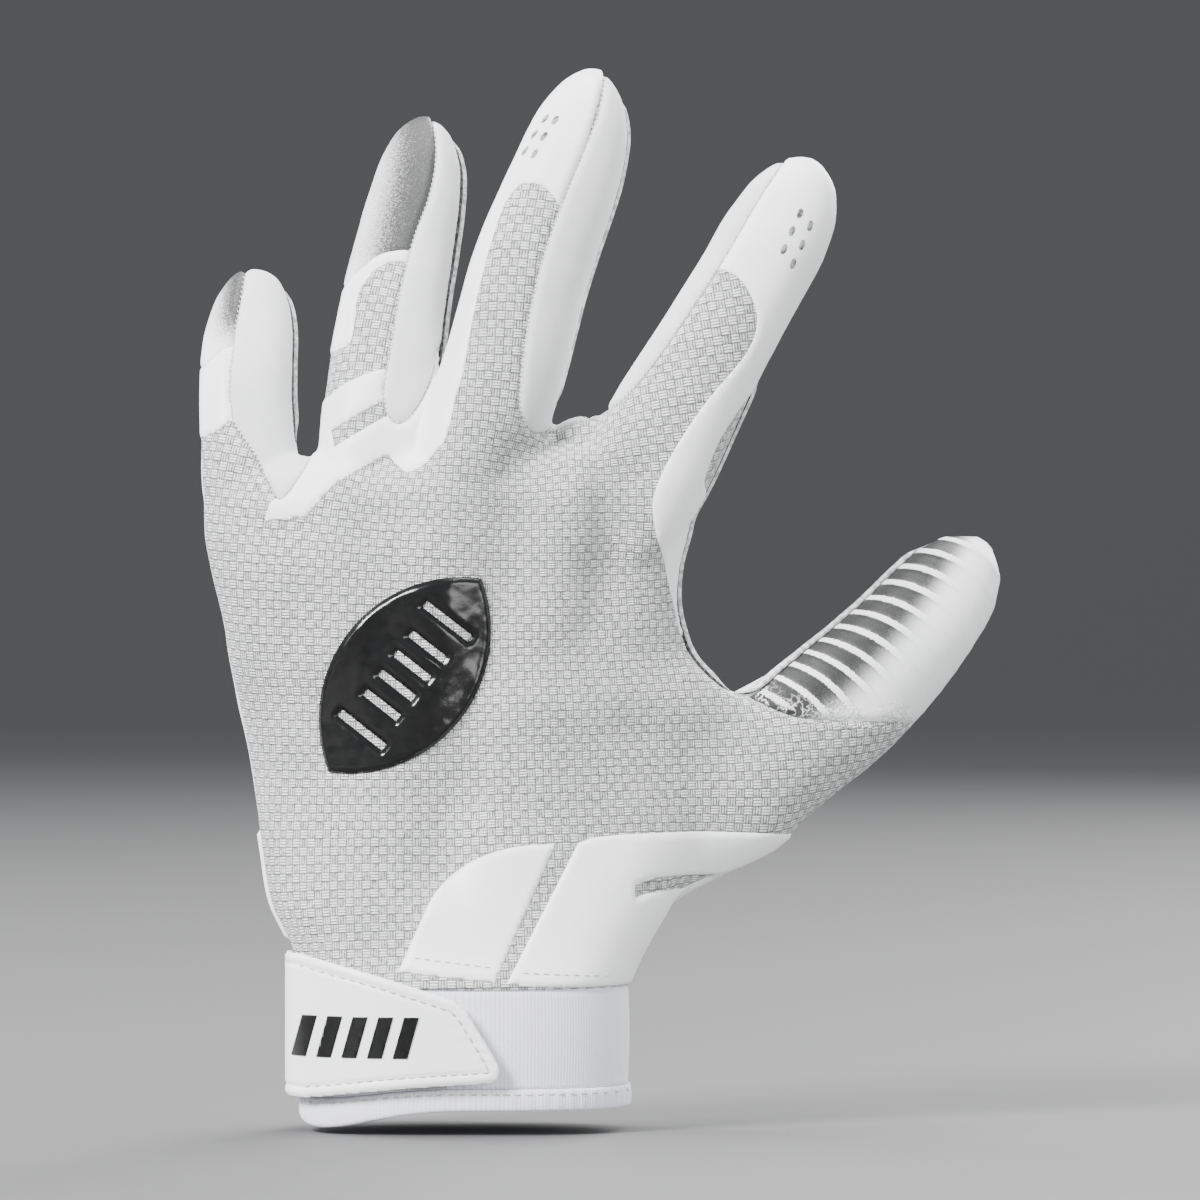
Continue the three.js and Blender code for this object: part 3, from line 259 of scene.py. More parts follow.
def closed(piece):
    """Joins a drawn tube's two long edges, caps its ends and turns its faces out."""
    bpy.ops.object.mode_set(mode="EDIT")
    bpy.ops.mesh.select_mode(type="VERT")
    bpy.ops.mesh.select_all(action="SELECT")
    bpy.ops.mesh.remove_doubles(threshold=1e-6)
    bpy.ops.mesh.select_all(action="DESELECT")
    bpy.ops.mesh.select_non_manifold()
    bpy.ops.mesh.fill_holes(sides=0)
    bpy.ops.mesh.select_all(action="SELECT")
    bpy.ops.mesh.normals_make_consistent(inside=False)
    bpy.ops.object.mode_set(mode="OBJECT")
    return piece


def only(*pieces):
    """Selects these pieces, the last one active."""
    bpy.ops.object.select_all(action="DESELECT")
    for piece in pieces:
        piece.select_set(True)
        bpy.context.view_layer.objects.active = piece


def finish_with(piece, kind, **settings):
    """Adds a modifier with these settings and applies it."""
    only(piece)
    modifier = piece.modifiers.new(kind.lower(), kind)
    for key, value in settings.items():
        setattr(modifier, key, value)
    bpy.ops.object.modifier_apply(modifier=modifier.name)


def places(piece):
    flat = np.empty(len(piece.data.vertices) * 3)
    piece.data.vertices.foreach_get("co", flat)
    return flat.reshape(-1, 3)


def directions(piece):
    flat = np.empty(len(piece.data.vertices) * 3)
    piece.data.vertices.foreach_get("normal", flat)
    return flat.reshape(-1, 3)


def move_to(piece, where):
    piece.data.vertices.foreach_set("co", where.ravel())
    piece.data.update()


ups = np.linspace(PALM_ROWS[0][0], 1, 90)
round_palm = np.linspace(0, 2 * np.pi, 129)
palm_rings = [
    section_ring(palm_section(row), round_palm)
    for row in through([row[0] for row in PALM_ROWS], PALM_ROWS, ups)
]
hand = closed(drawn("hand", np.array(palm_rings) * MM))
digits = [closed(drawn(name, digit_rings(name, 80, 64) * MM)) for name in DIGITS]
WEB_AT, WEB_RADII = (27.5, 2.5, 146.8), (9.5, 5, 4.8)
bpy.ops.mesh.primitive_uv_sphere_add(
    segments=48, ring_count=24, radius=MM, location=[v * MM for v in WEB_AT], scale=WEB_RADII
)
web = bpy.context.active_object
only(*digits, web, hand)
bpy.ops.object.join()
finish_with(hand, "REMESH", mode="VOXEL", voxel_size=0.9 * MM, use_smooth_shade=True)
finish_with(hand, "SMOOTH", factor=0.5, iterations=7)


def distance_to_line(points, line):
    """Distance in the front view from each (x, z) to a line of points, and the share along it."""
    line = np.asarray(line, float)
    best = np.full(len(points), 1e9)
    share = np.zeros(len(points))
    for k in range(len(line) - 1):
        step = line[k + 1] - line[k]
        t = np.clip(((points - line[k]) @ step) / (step @ step), 0, 1)
        far = np.linalg.norm(points - line[k] - t[:, None] * step, axis=1)
        share = np.where(far < best, (k + t) / (len(line) - 1), share)
        best = np.minimum(best, far)
    return best, share


# The thumb's root is rubbed smooth where it runs out of the palm.
ROOT_CREASE = [(62, 96), (57, 77), (52, 55)]
where = places(hand)
front = np.stack([where[:, 0], where[:, 2]], axis=1) / MM
far, _ = distance_to_line(front, ROOT_CREASE)
rubbed = hand.vertex_groups.new(name="rubbed")
for weight in np.arange(0.1, 1.01, 0.1):
    near = np.flatnonzero(np.abs(np.clip((15 - far) / 8, 0, 1) - weight) <= 0.05)
    rubbed.add(near.tolist(), weight, "REPLACE")
finish_with(hand, "SMOOTH", factor=0.5, iterations=220, vertex_group="rubbed")
DIPS = [  # line of (x, z), half width and depth in millimetres
    ([(13, 141), (10, 120), (4, 97), (0, 74), (-5, 54)], 8, 2.9),
    ([(35, 137), (33, 122), (29, 106)], 6, 2.2),
    ([(-20, 138), (-19, 122), (-17, 104)], 7, 1.2),
    ([(60, 62), (47, 70), (38, 84)], 7, 0.9),
]
SWELLS = [
    ([(-2, 138), (-5, 128)], 8, 0.9),
    ([(25, 140), (24, 126)], 7, 0.9),
    ([(47, 135), (45, 122)], 8, 0.8),
    ([(-36, 131), (-35, 122)], 8, 0.6),
]
where, facing = places(hand), directions(hand)
front = np.stack([where[:, 0], where[:, 2]], axis=1) / MM
on_back = np.clip(-facing[:, 1] * 1.6, 0, 1)
press = np.zeros(len(where))
for sign, marks in ((-1, DIPS), (1, SWELLS)):
    for line, width, depth in marks:
        far, share = distance_to_line(front, line)
        press += sign * depth * np.exp(-((far / width) ** 2)) * on_back
slow = np.array([noise.noise(Vector(p) * 45) for p in where])
quick_noise = np.array([noise.noise(Vector(p) * 130 + Vector((3, 1, 2))) for p in where])
press += 0.32 * slow + 0.1 * quick_noise
move_to(hand, where + facing * press[:, None] * MM)
hand_tree = KDTree(len(where))
hand_points, hand_normals = places(hand), directions(hand)
for i, p in enumerate(hand_points):
    hand_tree.insert(p, i)
hand_tree.balance()
hand_bvh = BVHTree.FromPolygons(
    [tuple(p) for p in hand_points], [tuple(face.vertices) for face in hand.data.polygons]
)
for name in ("skin", "cut"):
    hand.data.materials.append(bpy.data.materials.new(name))

# Panels. Each panel is cut from the form along its seams, as a pattern piece is: outlines drawn
# from the back go right through the hand, and a surface half way between back and palm parts the
# two sides. A panel that meets a seam dips into it, and its edge is turned in.
WALL = 0.8
middle_points = []
for row in PALM_ROWS[2:]:
    s = palm_section(row)
    for u in (-0.9, -0.45, 0, 0.45, 0.9):
        middle_points.append(
            (s["x"] + s["half_width"] * u, s["y"] + s["arch"] * u * u, s["z"] + s["tilt"] * u)
        )
for name in DIGITS:
    middle_points.extend(digit_line(name, np.linspace(0.15, 1, 20))[0])
middle_points.extend((u * 36, 0, 0) for u in (-1, -0.5, 0, 0.5, 1))
middle_points = np.array(middle_points)


def middle_depth(x, z):
    far = (middle_points[:, 0] - x[..., None]) ** 2 + (middle_points[:, 2] - z[..., None]) ** 2
    weight = 1 / (1 + far) ** 1.7
    return (weight * middle_points[:, 1]).sum(axis=-1) / weight.sum(axis=-1)


def thickened(piece, way):
    """Pushes a flat or curved sheet along way into a closed block that cuts."""
    only(piece)
    bpy.ops.object.mode_set(mode="EDIT")
    bpy.ops.mesh.select_all(action="SELECT")
    bpy.ops.mesh.extrude_region_move(TRANSFORM_OT_translate={"value": way})
    bpy.ops.mesh.select_all(action="SELECT")
    bpy.ops.mesh.normals_make_consistent(inside=False)
    bpy.ops.object.mode_set(mode="OBJECT")
    piece.data.materials.clear()
    for name in ("skin", "cut"):
        piece.data.materials.append(bpy.data.materials[name])
    piece.data.polygons.foreach_set("material_index", [1] * len(piece.data.polygons))
    return piece


def side_block(side, shift):
    """All that lies on the back's side (-1) or the palm's side (1) of the middle surface."""
    x, z = np.meshgrid(np.linspace(-96, 170, 56), np.linspace(-24, 250, 58))
    y = middle_depth(x, z) + shift
    return thickened(drawn("side", np.stack([x, y, z], axis=-1) * MM), (0, side * 0.13, 0))


def outline(*stretches):
    """A closed outline from stretches. A smooth curve runs through each, with corners between."""
    made = []
    for stretch in stretches:
        stretch = np.asarray(stretch, float)
        if len(stretch) > 2:
            stops = np.arange(len(stretch))
            stretch = through(stops, stretch, np.linspace(0, stops[-1], 6 * stops[-1] + 1))
        made.extend(stretch[:-1])
    return np.array(made)


def on_digit(name, shares):
    """Points by shares of a digit's length and half width, as (x, z)."""
    along, across = np.array(shares, float).T
    middle, side, _ = digit_line(name, np.minimum(along, 1))
    beyond = np.maximum(along - 1, 0) * DIGITS[name][3]
    x = middle[:, 0] + across * DIGITS[name][4] * side[:, 0] - side[:, 2] * beyond
    z = middle[:, 2] + across * DIGITS[name][4] * side[:, 2] + side[:, 0] * beyond
    return np.stack([x, z], axis=1)


def on_palm(shares):
    """Points by shares of the palm's half width and length, as (x, z)."""
    across, up = np.array(shares, float).T
    return np.stack([across * PALM["half_width"], PALM["z"] + up * PALM["length"]], axis=1)


def prism(points, reach=0.12):
    """The outline pushed right through the hand."""
    bpy.ops.object.select_all(action="DESELECT")
    bpy.ops.mesh.primitive_circle_add(vertices=len(points), radius=1, fill_type="NGON")
    piece = bpy.context.active_object
    where = np.stack([points[:, 0] * MM, np.full(len(points), -reach), points[:, 1] * MM], axis=1)
    move_to(piece, where)
    return thickened(piece, (0, 2 * reach, 0))


def copy_of(piece, name):
    made = piece.copy()
    made.data = piece.data.copy()
    made.name = made.data.name = name
    bpy.context.collection.objects.link(made)
    return made


def cut(piece, cutter, operation, last=False):
    finish_with(
        piece, "BOOLEAN", object=cutter, operation=operation, solver="MANIFOLD", material_mode="TRANSFER"
    )
    if last:
        bpy.data.objects.remove(cutter)
    return piece


def skinned(piece):
    """Leaves only the outside faces, without those that a cut made."""
    cuts = [slot.material.name == "cut" for slot in piece.material_slots]
    only(piece)
    bpy.ops.object.mode_set(mode="EDIT")
    bpy.ops.mesh.select_mode(type="FACE")
    bpy.ops.mesh.select_all(action="DESELECT")
    bpy.ops.object.mode_set(mode="OBJECT")
    index = np.empty(len(piece.data.polygons), int)
    piece.data.polygons.foreach_get("material_index", index)
    piece.data.polygons.foreach_set("select", np.array(cuts)[index])
    bpy.ops.object.mode_set(mode="EDIT")
    bpy.ops.mesh.delete(type="FACE")
    bpy.ops.mesh.select_all(action="SELECT")
    bpy.ops.mesh.remove_doubles(threshold=0.02 * MM)
    bpy.ops.object.mode_set(mode="OBJECT")
    piece.data.materials.clear()
    return piece


def rim_of(piece):
    """The places of an open sheet's edge."""
    mesh = piece.data
    used = np.empty(len(mesh.loops), int)
    mesh.loops.foreach_get("edge_index", used)
    ends = np.empty(len(mesh.edges) * 2, int)
    mesh.edges.foreach_get("vertices", ends)
    ends = ends.reshape(-1, 2)[np.bincount(used, minlength=len(mesh.edges)) == 1]
    where = places(piece)
    return np.vstack([where[ends[:, 0]], where[ends].mean(axis=1)])


def tree_of(points):
    tree = KDTree(len(points))
    for i, p in enumerate(points):
        tree.insert(p, i)
    tree.balance()
    return tree


def far_from(tree, where):
    """Distance in millimetres from each place to the tree's nearest point."""
    return np.array([tree.find(p)[2] for p in where]) / MM


def form_normals(where):
    return hand_normals[[hand_tree.find(p)[1] for p in where]]


PINKY_SEAM = [(1.04, -0.2), (0.9, -0.25), (0.74, -0.3), (0.55, -0.32), (0.44, -0.27)]
RING_SEAM = [(1.04, 0.1), (0.93, 0.24), (0.82, 0.24), (0.7, 0.12), (0.57, 0.08), (0.47, 0.08)]
MIDDLE_SEAM = [(1.03, 0.12), (0.93, 0.2), (0.85, 0.16), (0.74, 0.12), (0.6, 0.14), (0.47, 0.2)]
INDEX_SEAM = [(1.06, -0.32), (0.9, -0.5), (0.7, -0.56), (0.55, -0.62), (0.45, -0.7), (0.36, -0.88)]
pinky = lambda *shares: on_digit("pinky", shares)
ring = lambda *shares: on_digit("ring", shares)
middle = lambda *shares: on_digit("middle", shares)
index = lambda *shares: on_digit("index", shares)
palm = lambda *shares: on_palm(shares)
mixed = lambda *parts: np.vstack(parts)
PINKY_CROTCH = [(-51.3, 150.7), (-48.8, 147), (-46, 143), (-43.3, 137.5), (-41.1, 133.7), (-39, 134.6), (-36.3, 138.4), (-34.3, 142)]
RING_CROTCH = [(-17.8, 158), (-17.6, 154.8), (-16.6, 151.6), (-14.3, 149.9), (-11.7, 151.6), (-8.8, 156.2), (-6.6, 161.7)]
MIDDLE_CROTCH = [(12.2, 156.5), (12.7, 151.4), (15.6, 147.8), (20.0, 148.6), (24.6, 150.3), (28.6, 152.2)]
GUSSETS = {
    "gusset_pinky_ring": (
        outline(
            mixed(pinky(*PINKY_SEAM), PINKY_CROTCH),
            mixed(PINKY_CROTCH[-1:], ring((0.27, -1.2))),
            mixed(ring((0.27, -1.2)), pinky((0.5, 1.35))),
            pinky((0.5, 1.35), (1.08, 1)),
            pinky((1.08, 1), (1.04, -0.2)),
        ),
        outline(
            ring((0.17, -0.5), (0.6, -0.5), (0.94, -0.35)),
            ring((0.94, -0.35), (0.97, -1.3)),
            ring((0.97, -1.3), (0.55, -1.5), (0.3, -1.6), (0.17, -1.3)),
            ring((0.17, -1.3), (0.17, -0.5)),
        ),
    ),
    "gusset_ring_middle": (
        outline(
            mixed(ring(*RING_SEAM), RING_CROTCH),
            mixed(RING_CROTCH[-1:], middle((0.37, -1.16))),
            mixed(middle((0.37, -1.16)), ring((0.5, 1.06))),
            ring((0.5, 1.06), (0.75, 1.04)),
            ring((0.75, 1.04), (1.06, 1)),
            ring((1.06, 1), (1.04, 0.1)),
        ),
        outline(
            middle((0.2, -0.5), (0.6, -0.5), (0.94, -0.35)),
            middle((0.94, -0.35), (0.97, -1.3)),
            middle((0.97, -1.3), (0.6, -1.4), (0.4, -1.5), (0.2, -1.5)),
            middle((0.2, -1.5), (0.2, -0.5)),
        ),
    ),
    "gusset_middle_index": (
        outline(
            mixed(middle(*MIDDLE_SEAM), MIDDLE_CROTCH, index(*INDEX_SEAM[::-1])),
            index((1.06, -0.32), (1.06, -1.2)),
            index((1.06, -1.2), (0.5, -1.4)),
            mixed(index((0.5, -1.4)), middle((0.7, 1.5))),
            middle((0.7, 1.5), (1.05, 1.2)),
            middle((1.05, 1.2), (1.03, 0.12)),
        ),
        outline(
            mixed(palm((0.33, 0.965)), index((0.29, -0.65))),
            index((0.29, -0.65), (0.45, -0.6), (0.6, -0.6)),
            index((0.6, -0.6), (0.6, -1.35)),
            index((0.6, -1.35), (0.45, -1.5), (0.38, -1.9)),
            mixed(index((0.38, -1.9)), palm((0.33, 0.965))),
        ),
    ),
}
THUMB_ROOT = palm((1.08, 0.57), (1.14, 0.553), (1.24, 0.52), (1.4, 0.49), (1.6, 0.48), (1.84, 0.474))
THUMB_EDGE = outline(
    palm((1.12, 0.563), (1.24, 0.53), (1.4, 0.5), (1.6, 0.49), (1.84, 0.484), (2.1, 0.46)),
    palm((2.1, 0.46), (2.7, 0.6)),
    palm((2.7, 0.6), (2.6, 1)),
    palm((2.6, 1), (1.7, 0.86)),
    palm((1.7, 0.86), (1.12, 0.563)),
)
GUSSET_WRAP = 1.3
back_block = side_block(-1, 0)
palm_block = side_block(1, 0)
wrap_block = side_block(-1, GUSSET_WRAP)
below = drawn(
    "below", np.array([[(x, y, 26.6 * MM) for x in (-0.2, 0.3)] for y in (-0.2, 0.2)])
)
thickened(below, (0, 0, -0.1))
cut(hand, below, "DIFFERENCE", last=True)
regions = {}
for name, (shown, hidden) in GUSSETS.items():
    region = prism(shown)
    neighbour = cut(prism(hidden), palm_block, "INTERSECT")
    cut(region, neighbour, "UNION", last=True)
    regions[name] = cut(region, wrap_block, "INTERSECT")
thumb_region = prism(THUMB_EDGE)
palm_panel = cut(copy_of(hand, "palm_panel_cloth"), palm_block, "INTERSECT")
back_side = cut(copy_of(hand, "back_side"), back_block, "INTERSECT")
back_panel = cut(copy_of(back_side, "back_panel_cloth"), thumb_region, "DIFFERENCE")
thumb_panel = cut(copy_of(back_side, "thumb_panel_cloth"), thumb_region, "INTERSECT", last=True)
gussets = {}
for name, region in regions.items():
    cut(palm_panel, region, "DIFFERENCE")
    cut(back_panel, region, "DIFFERENCE")
    gussets[name] = skinned(cut(copy_of(hand, name + "_cloth"), region, "INTERSECT", last=True))
knit_form = copy_of(back_panel, "knit_form")
for piece in (palm_panel, back_panel, thumb_panel):
    skinned(piece)
panels = [palm_panel, back_panel, thumb_panel, *gussets.values()]
seams = np.vstack([rim_of(piece) for piece in panels])
seams = seams[seams[:, 2] > 30 * MM]
seam_tree = tree_of(seams)


def seam_dip(where):
    """How far out the cloth stands, in millimetres: it dips at a seam and swells beside it."""
    far = far_from(seam_tree, where)
    return -0.5 * np.exp(-((far / 0.62) ** 2)) + 0.1 * np.exp(-(((far - 1.9) / 1.1) ** 2))


def dress(piece, lift=0.0, wall=WALL):
    """Lays an open sheet on the form, dipped at the seams and raised by lift, and gives it a wall."""
    where = places(piece)
    out = form_normals(where)
    move_to(piece, where + out * (seam_dip(where) + lift)[:, None] * MM)
    finish_with(piece, "SOLIDIFY", thickness=wall * MM, offset=-1, use_even_offset=False)
    only(piece)
    bpy.ops.object.shade_smooth()
    return piece


def worn(piece, slot, *nodes):
    """The piece rides on the glove and stands for its solid."""
    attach(piece, "root")
    if nodes:
        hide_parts(*nodes)


# The palm is one piece of coated grip cloth, a satin rubber film over thin cloth, sewn to the
# back and the gussets all round.
class Signal:
    """A shader socket that takes part in Python's arithmetic."""

    def __init__(self, finish, socket):
        self.finish, self.socket = finish, socket

    def math(self, operation, *values):
        return self.finish.node("ShaderNodeMath", {"operation": operation}, dict(enumerate(values)))

    def __add__(self, other):
        return self.math("ADD", self, other)

    def __radd__(self, other):
        return self.math("ADD", other, self)

    def __sub__(self, other):
        return self.math("SUBTRACT", self, other)

    def __rsub__(self, other):
        return self.math("SUBTRACT", other, self)

    def __mul__(self, other):
        return self.math("MULTIPLY", self, other)

    def __rmul__(self, other):
        return self.math("MULTIPLY", other, self)

    def __truediv__(self, other):
        return self.math("DIVIDE", self, other)

    def __pow__(self, other):
        return self.math("POWER", self, other)

    def __mod__(self, other):
        return self.math("FLOORED_MODULO", self, other)

    def floor(self):
        return self.math("FLOOR", self)

    def sine(self):
        return self.math("SINE", self)

    def size(self):
        return self.math("ABSOLUTE", self)

    def clear(self, low, high):
        """0 below low, 1 above high, and smooth between."""
        return self.finish.node(
            "ShaderNodeMapRange",
            {"interpolation_type": "SMOOTHSTEP"},
            {"Value": self, "From Min": low, "From Max": high},
        )


class Finish:
    """One material, whose nodes are written as expressions."""

    def __init__(self, name, roughness=0.6, sheen=0.0, coat=0.0, specular=0.5):
        self.material = bpy.data.materials.new(name)
        self.material.use_nodes = True
        self.tree = self.material.node_tree
        self.shader = self.tree.nodes["Principled BSDF"]
        self.shader.inputs["Roughness"].default_value = roughness
        self.shader.inputs["Sheen Weight"].default_value = sheen
        self.shader.inputs["Coat Weight"].default_value = coat
        self.shader.inputs["Coat Roughness"].default_value = 0.12
        self.shader.inputs["Specular IOR Level"].default_value = specular

    def node(self, kind, settings=None, sockets=None, output=0):
        made = self.tree.nodes.new(kind)
        for key, value in (settings or {}).items():
            setattr(made, key, value)
        for key, value in (sockets or {}).items():
            if isinstance(value, Signal):
                self.tree.links.new(value.socket, made.inputs[key])
            else:
                made.inputs[key].default_value = value
        return Signal(self, made.outputs[output])

    def place(self):
        return self.node("ShaderNodeTexCoord", output="Object")

    def marks(self, name):
        return self.node("ShaderNodeAttribute", {"attribute_name": name}, output="Fac")

    def grain(self, size, detail=2.0, at=None):
        """Noise from 0 to 1 whose lumps are about size metres wide."""
        return self.node(
            "ShaderNodeTexNoise",
            sockets={"Vector": at or self.place(), "Scale": 0.5 / size, "Detail": detail},
        )

    def blend(self, share, first, second):
        """A colour between two, by a share from 0 to 1."""
        return self.node(
            "ShaderNodeMix", {"data_type": "RGBA"}, {"Factor": share, 6: first, 7: second}, output=2
        )

    def feed(self, **inputs):
        for key, value in inputs.items():
            self.tree.links.new(value.socket, self.shader.inputs[key.replace("_", " ")])
        return self

    def relief(self, height, depth):
        """Bumps the surface by height, from 0 to 1, over depth metres."""
        bump = self.node("ShaderNodeBump", sockets={"Height": height, "Distance": depth})
        return self.feed(Normal=bump)


def grey(value, warm=0.0):
    """A linear colour of this brightness, warmer or cooler by a small share."""
    return (value * (1 + warm), value, value * (1 - warm), 1)


def worn_in(piece, finish):
    piece.data.materials.append(finish.material)


def on_line(name, where):
    """How far each place is along a digit in millimetres, and its share of the half width across."""
    stops = np.linspace(0.05, 1, 240)
    middle, side, _ = digit_line(name, stops)
    tree = tree_of(middle * MM)
    nearest = np.array([tree.find(p)[1] for p in where])
    across = ((where / MM - middle[nearest]) * side[nearest]).sum(axis=1) / DIGITS[name][4]
    return stops[nearest] * DIGITS[name][3], across


def give_marks(piece, name, values):
    layer = piece.data.attributes.new(name, "FLOAT", "POINT")
    layer.data.foreach_set("value", np.asarray(values, np.float32))


def step(values, low, high):
    t = np.clip((values - low) / (high - low), 0, 1)
    return t * t * (3 - 2 * t)


# Its ribs run across each finger and in arcs round the thumb's root, with a speckle that fades.
RIB_PITCH = 5.5
RIB_START = dict(pinky=27, ring=35, middle=40, index=40, thumb=52)
where = places(palm_panel)
x, z = where[:, 0] / MM, where[:, 2] / MM
nearest = np.full(len(where), 1e9)
field, dark = np.zeros(len(where)), np.zeros(len(where))
for name, start in RIB_START.items():
    along, across = on_line(name, where)
    far = far_from(tree_of(digit_line(name, np.linspace(0.05, 1, 240))[0] * MM), where)
    end = DIGITS[name][3]
    show = step(along, start, start + 3) * (1 - step(along, end - 8, end - 4))
    show *= 1 - step(np.abs(across), 0.66, 0.8)
    fade = 1 - step(across, -0.8, 0.5)
    near = far < nearest
    nearest = np.minimum(nearest, far)
    field[near], dark[near] = show[near], fade[near]
ROOT_CENTRE = (66, 48)
round_root = np.hypot(x - ROOT_CENTRE[0], z - ROOT_CENTRE[1])
show = step(round_root, 44, 48) * (1 - step(round_root, 106, 112)) * step(z, 52, 58)
show *= (1 - step(z, 119, 124)) * step(x, -41, -37) * (1 - step(x, 30, 35))
on_pad = (field < 0.01) & (show > 0)
field[on_pad] = show[on_pad]
dark[on_pad] = (1 - step(x, -46, 16))[on_pad]
give_marks(palm_panel, "dark", dark * field)
grip = Finish("coated grip", roughness=0.42, specular=0.4)
fine = grip.grain(0.35 * MM, 1.0)
broad = grip.grain(14 * MM, 2.0)
speckle = grip.grain(0.12 * MM, 1.0)
spots = (speckle + grip.grain(0.3 * MM, 1.0) * 0.4).clear(0.5, 0.9)
cover = (grip.marks("dark") * (0.4 + 0.4 * spots)).clear(0.0, 1.0)
white = grip.blend(broad.clear(0.3, 0.7), grey(0.74, -0.01), grey(0.82))
grip.feed(Base_Color=grip.blend(cover, white, grey(0.05, -0.01)))
grip.feed(Roughness=0.36 + fine * 0.16)
grip.relief(fine, 0.05 * MM)
dress(palm_panel, 0)
worn_in(palm_panel, grip)
worn(palm_panel, "grip", "palm_panel")

# The back is one piece of basket knit from the wrist to the fingertips: small squares of three
# threads that lie by turns across and along, in light grey. Its colour is darkened where the weave
# lies low, between the threads and over every other square, as painted shade mixed with random
# fuzz. It is sewn to the palm all round.
CELL = 1.77


def weave_map(piece):
    """Lays the sheet flat for its weave, in millimetres and upright over the palm."""
    only(piece)
    bpy.ops.object.mode_set(mode="EDIT")
    bpy.ops.mesh.select_all(action="SELECT")
    bpy.ops.uv.unwrap(method="ANGLE_BASED", fill_holes=True, correct_aspect=False, margin=0)
    bpy.ops.object.mode_set(mode="OBJECT")
    mesh = piece.data
    layer = mesh.uv_layers.active
    layer.name = "weave"
    flat = np.empty(len(mesh.loops) * 2)
    layer.uv.foreach_get("vector", flat)
    flat = flat.reshape(-1, 2)
    corner = np.empty(len(mesh.loops), int)
    mesh.loops.foreach_get("vertex_index", corner)
    place, facing = places(piece)[corner], directions(piece)[corner]
    level = (facing[:, 1] < -0.9) & (place[:, 2] > 50 * MM) & (place[:, 2] < 135 * MM)
    level &= np.abs(place[:, 0]) < 36 * MM
    known = (flat[level, 0] + 1j * flat[level, 1]) - (flat[level, 0] + 1j * flat[level, 1]).mean()
    wanted = (place[level, 0] + 1j * place[level, 2]) / MM
    wanted = wanted - wanted.mean()
    straight = (np.conj(known) @ wanted) / (np.conj(known) @ known)
    turned = (np.conj(np.conj(known)) @ wanted) / (np.conj(known) @ known)
    mirrored = abs(turned) > abs(straight)
    laid = flat[:, 0] + 1j * flat[:, 1]
    laid = (np.conj(laid) if mirrored else laid) * (turned if mirrored else straight)
    layer.uv.foreach_set("vector", np.stack([laid.real, laid.imag], axis=1).ravel())


knit = Finish("basket knit", roughness=0.8, sheen=0.12, specular=0.3)
weave = knit.node("ShaderNodeUVMap", {"uv_map": "weave"})
split = knit.node("ShaderNodeSeparateXYZ", sockets={0: weave})
across = split / CELL
along = Signal(knit, split.socket.node.outputs[1]) / CELL
turn = (across.floor() + along.floor()) % 2
over, up = across % 1, along % 1
thread = turn * over + (1 - turn) * up
length = turn * up + (1 - turn) * over
ridge_of = (thread * (3 * math.pi)).sine().size()
crown = 1 - (length * 2 - 1).size() ** 5
gap = 1 - (thread * 2 - 1).size() ** 7
height = (0.3 + 0.7 * ridge_of) * (0.4 + 0.6 * crown * gap) * (1 - 0.45 * turn)
fuzz = knit.grain(0.45 * MM, 2.0)
# Painted shade: the colour is dark where the weave's height is low, in the gaps and the lower squares, mixed with
# random fuzz.
painted_shade_and_fuzz = (height * 1.05 + fuzz * 0.8 - 0.42).clear(0.0, 0.85)
tone = knit.grain(9 * MM, 2.0)
light = knit.blend(tone.clear(0.3, 0.7), grey(0.66, -0.005), grey(0.78))
# The near-black ground colour between the threads is painted shade.
knit.feed(Base_Color=knit.blend(painted_shade_and_fuzz, grey(0.1, -0.01), light))
knit.relief(height, 0.38 * MM)
weave_map(back_panel)
dress(back_panel, 0)
worn_in(back_panel, knit)
worn(back_panel, "back_knit", "back_panel")

# The thumb's front is a separate panel of the same grip cloth, with a dark speckle that fades
# away from its upper edge, and with raised curved ribs across it.
RIB_WIDTH = 1.6


finish_with(thumb_panel, "SUBSURF", subdivision_type="SIMPLE", levels=1, render_levels=1)
where = places(thumb_panel)
along_thumb, across_thumb = on_line("thumb", where)
bowed = along_thumb + 2.6 * across_thumb**2 - 1.0 * across_thumb
phase = (bowed / RIB_PITCH) % 1
edge = far_from(tree_of(rim_of(thumb_panel)), where)
rib = np.exp(-((np.abs(phase - 0.5) * RIB_PITCH / (RIB_WIDTH * 0.62)) ** 4))
rib *= step(edge, 0.8, 2.0)
dark = 1 - step(across_thumb, -0.6, 0.6 - 0.008 * np.clip(along_thumb - 55, 0, 60))
base_seam = far_from(tree_of(np.array([(x * MM, y * MM, z * MM) for x, z in THUMB_ROOT for y in range(-20, 40, 2)])), where)
give_marks(thumb_panel, "dark", dark)
give_marks(thumb_panel, "ribs_at", bowed)
give_marks(thumb_panel, "edge", edge)
give_marks(thumb_panel, "crumpled", (1 - step(base_seam, 1.5, 8)) * step(edge, 0, 0.6))
dress(thumb_panel, 0.3 * rib * (0.35 + 0.65 * (1 - step(across_thumb, -0.1, 0.75))))
ribbed = Finish("ribbed grip", roughness=0.42, specular=0.32)
speckle = ribbed.grain(0.12 * MM, 1.0)
spots = (speckle + ribbed.grain(0.3 * MM, 1.0) * 0.4).clear(0.5, 0.9)
dark_share = ribbed.marks("dark")
cover = (dark_share * 1.1).clear(0.0, 1.0) * (0.82 + 0.1 * dark_share.clear(0.5, 1.0) + 0.1 * spots) - (1 - dark_share).clear(0.2, 0.9) * spots * 0.15
from_rib = ((ribbed.marks("ribs_at") / RIB_PITCH) % 1 - 0.5).size() * RIB_PITCH
on_rib = (1 - from_rib.clear(0.7, 0.92)) * ribbed.marks("edge").clear(0.9, 1.5)
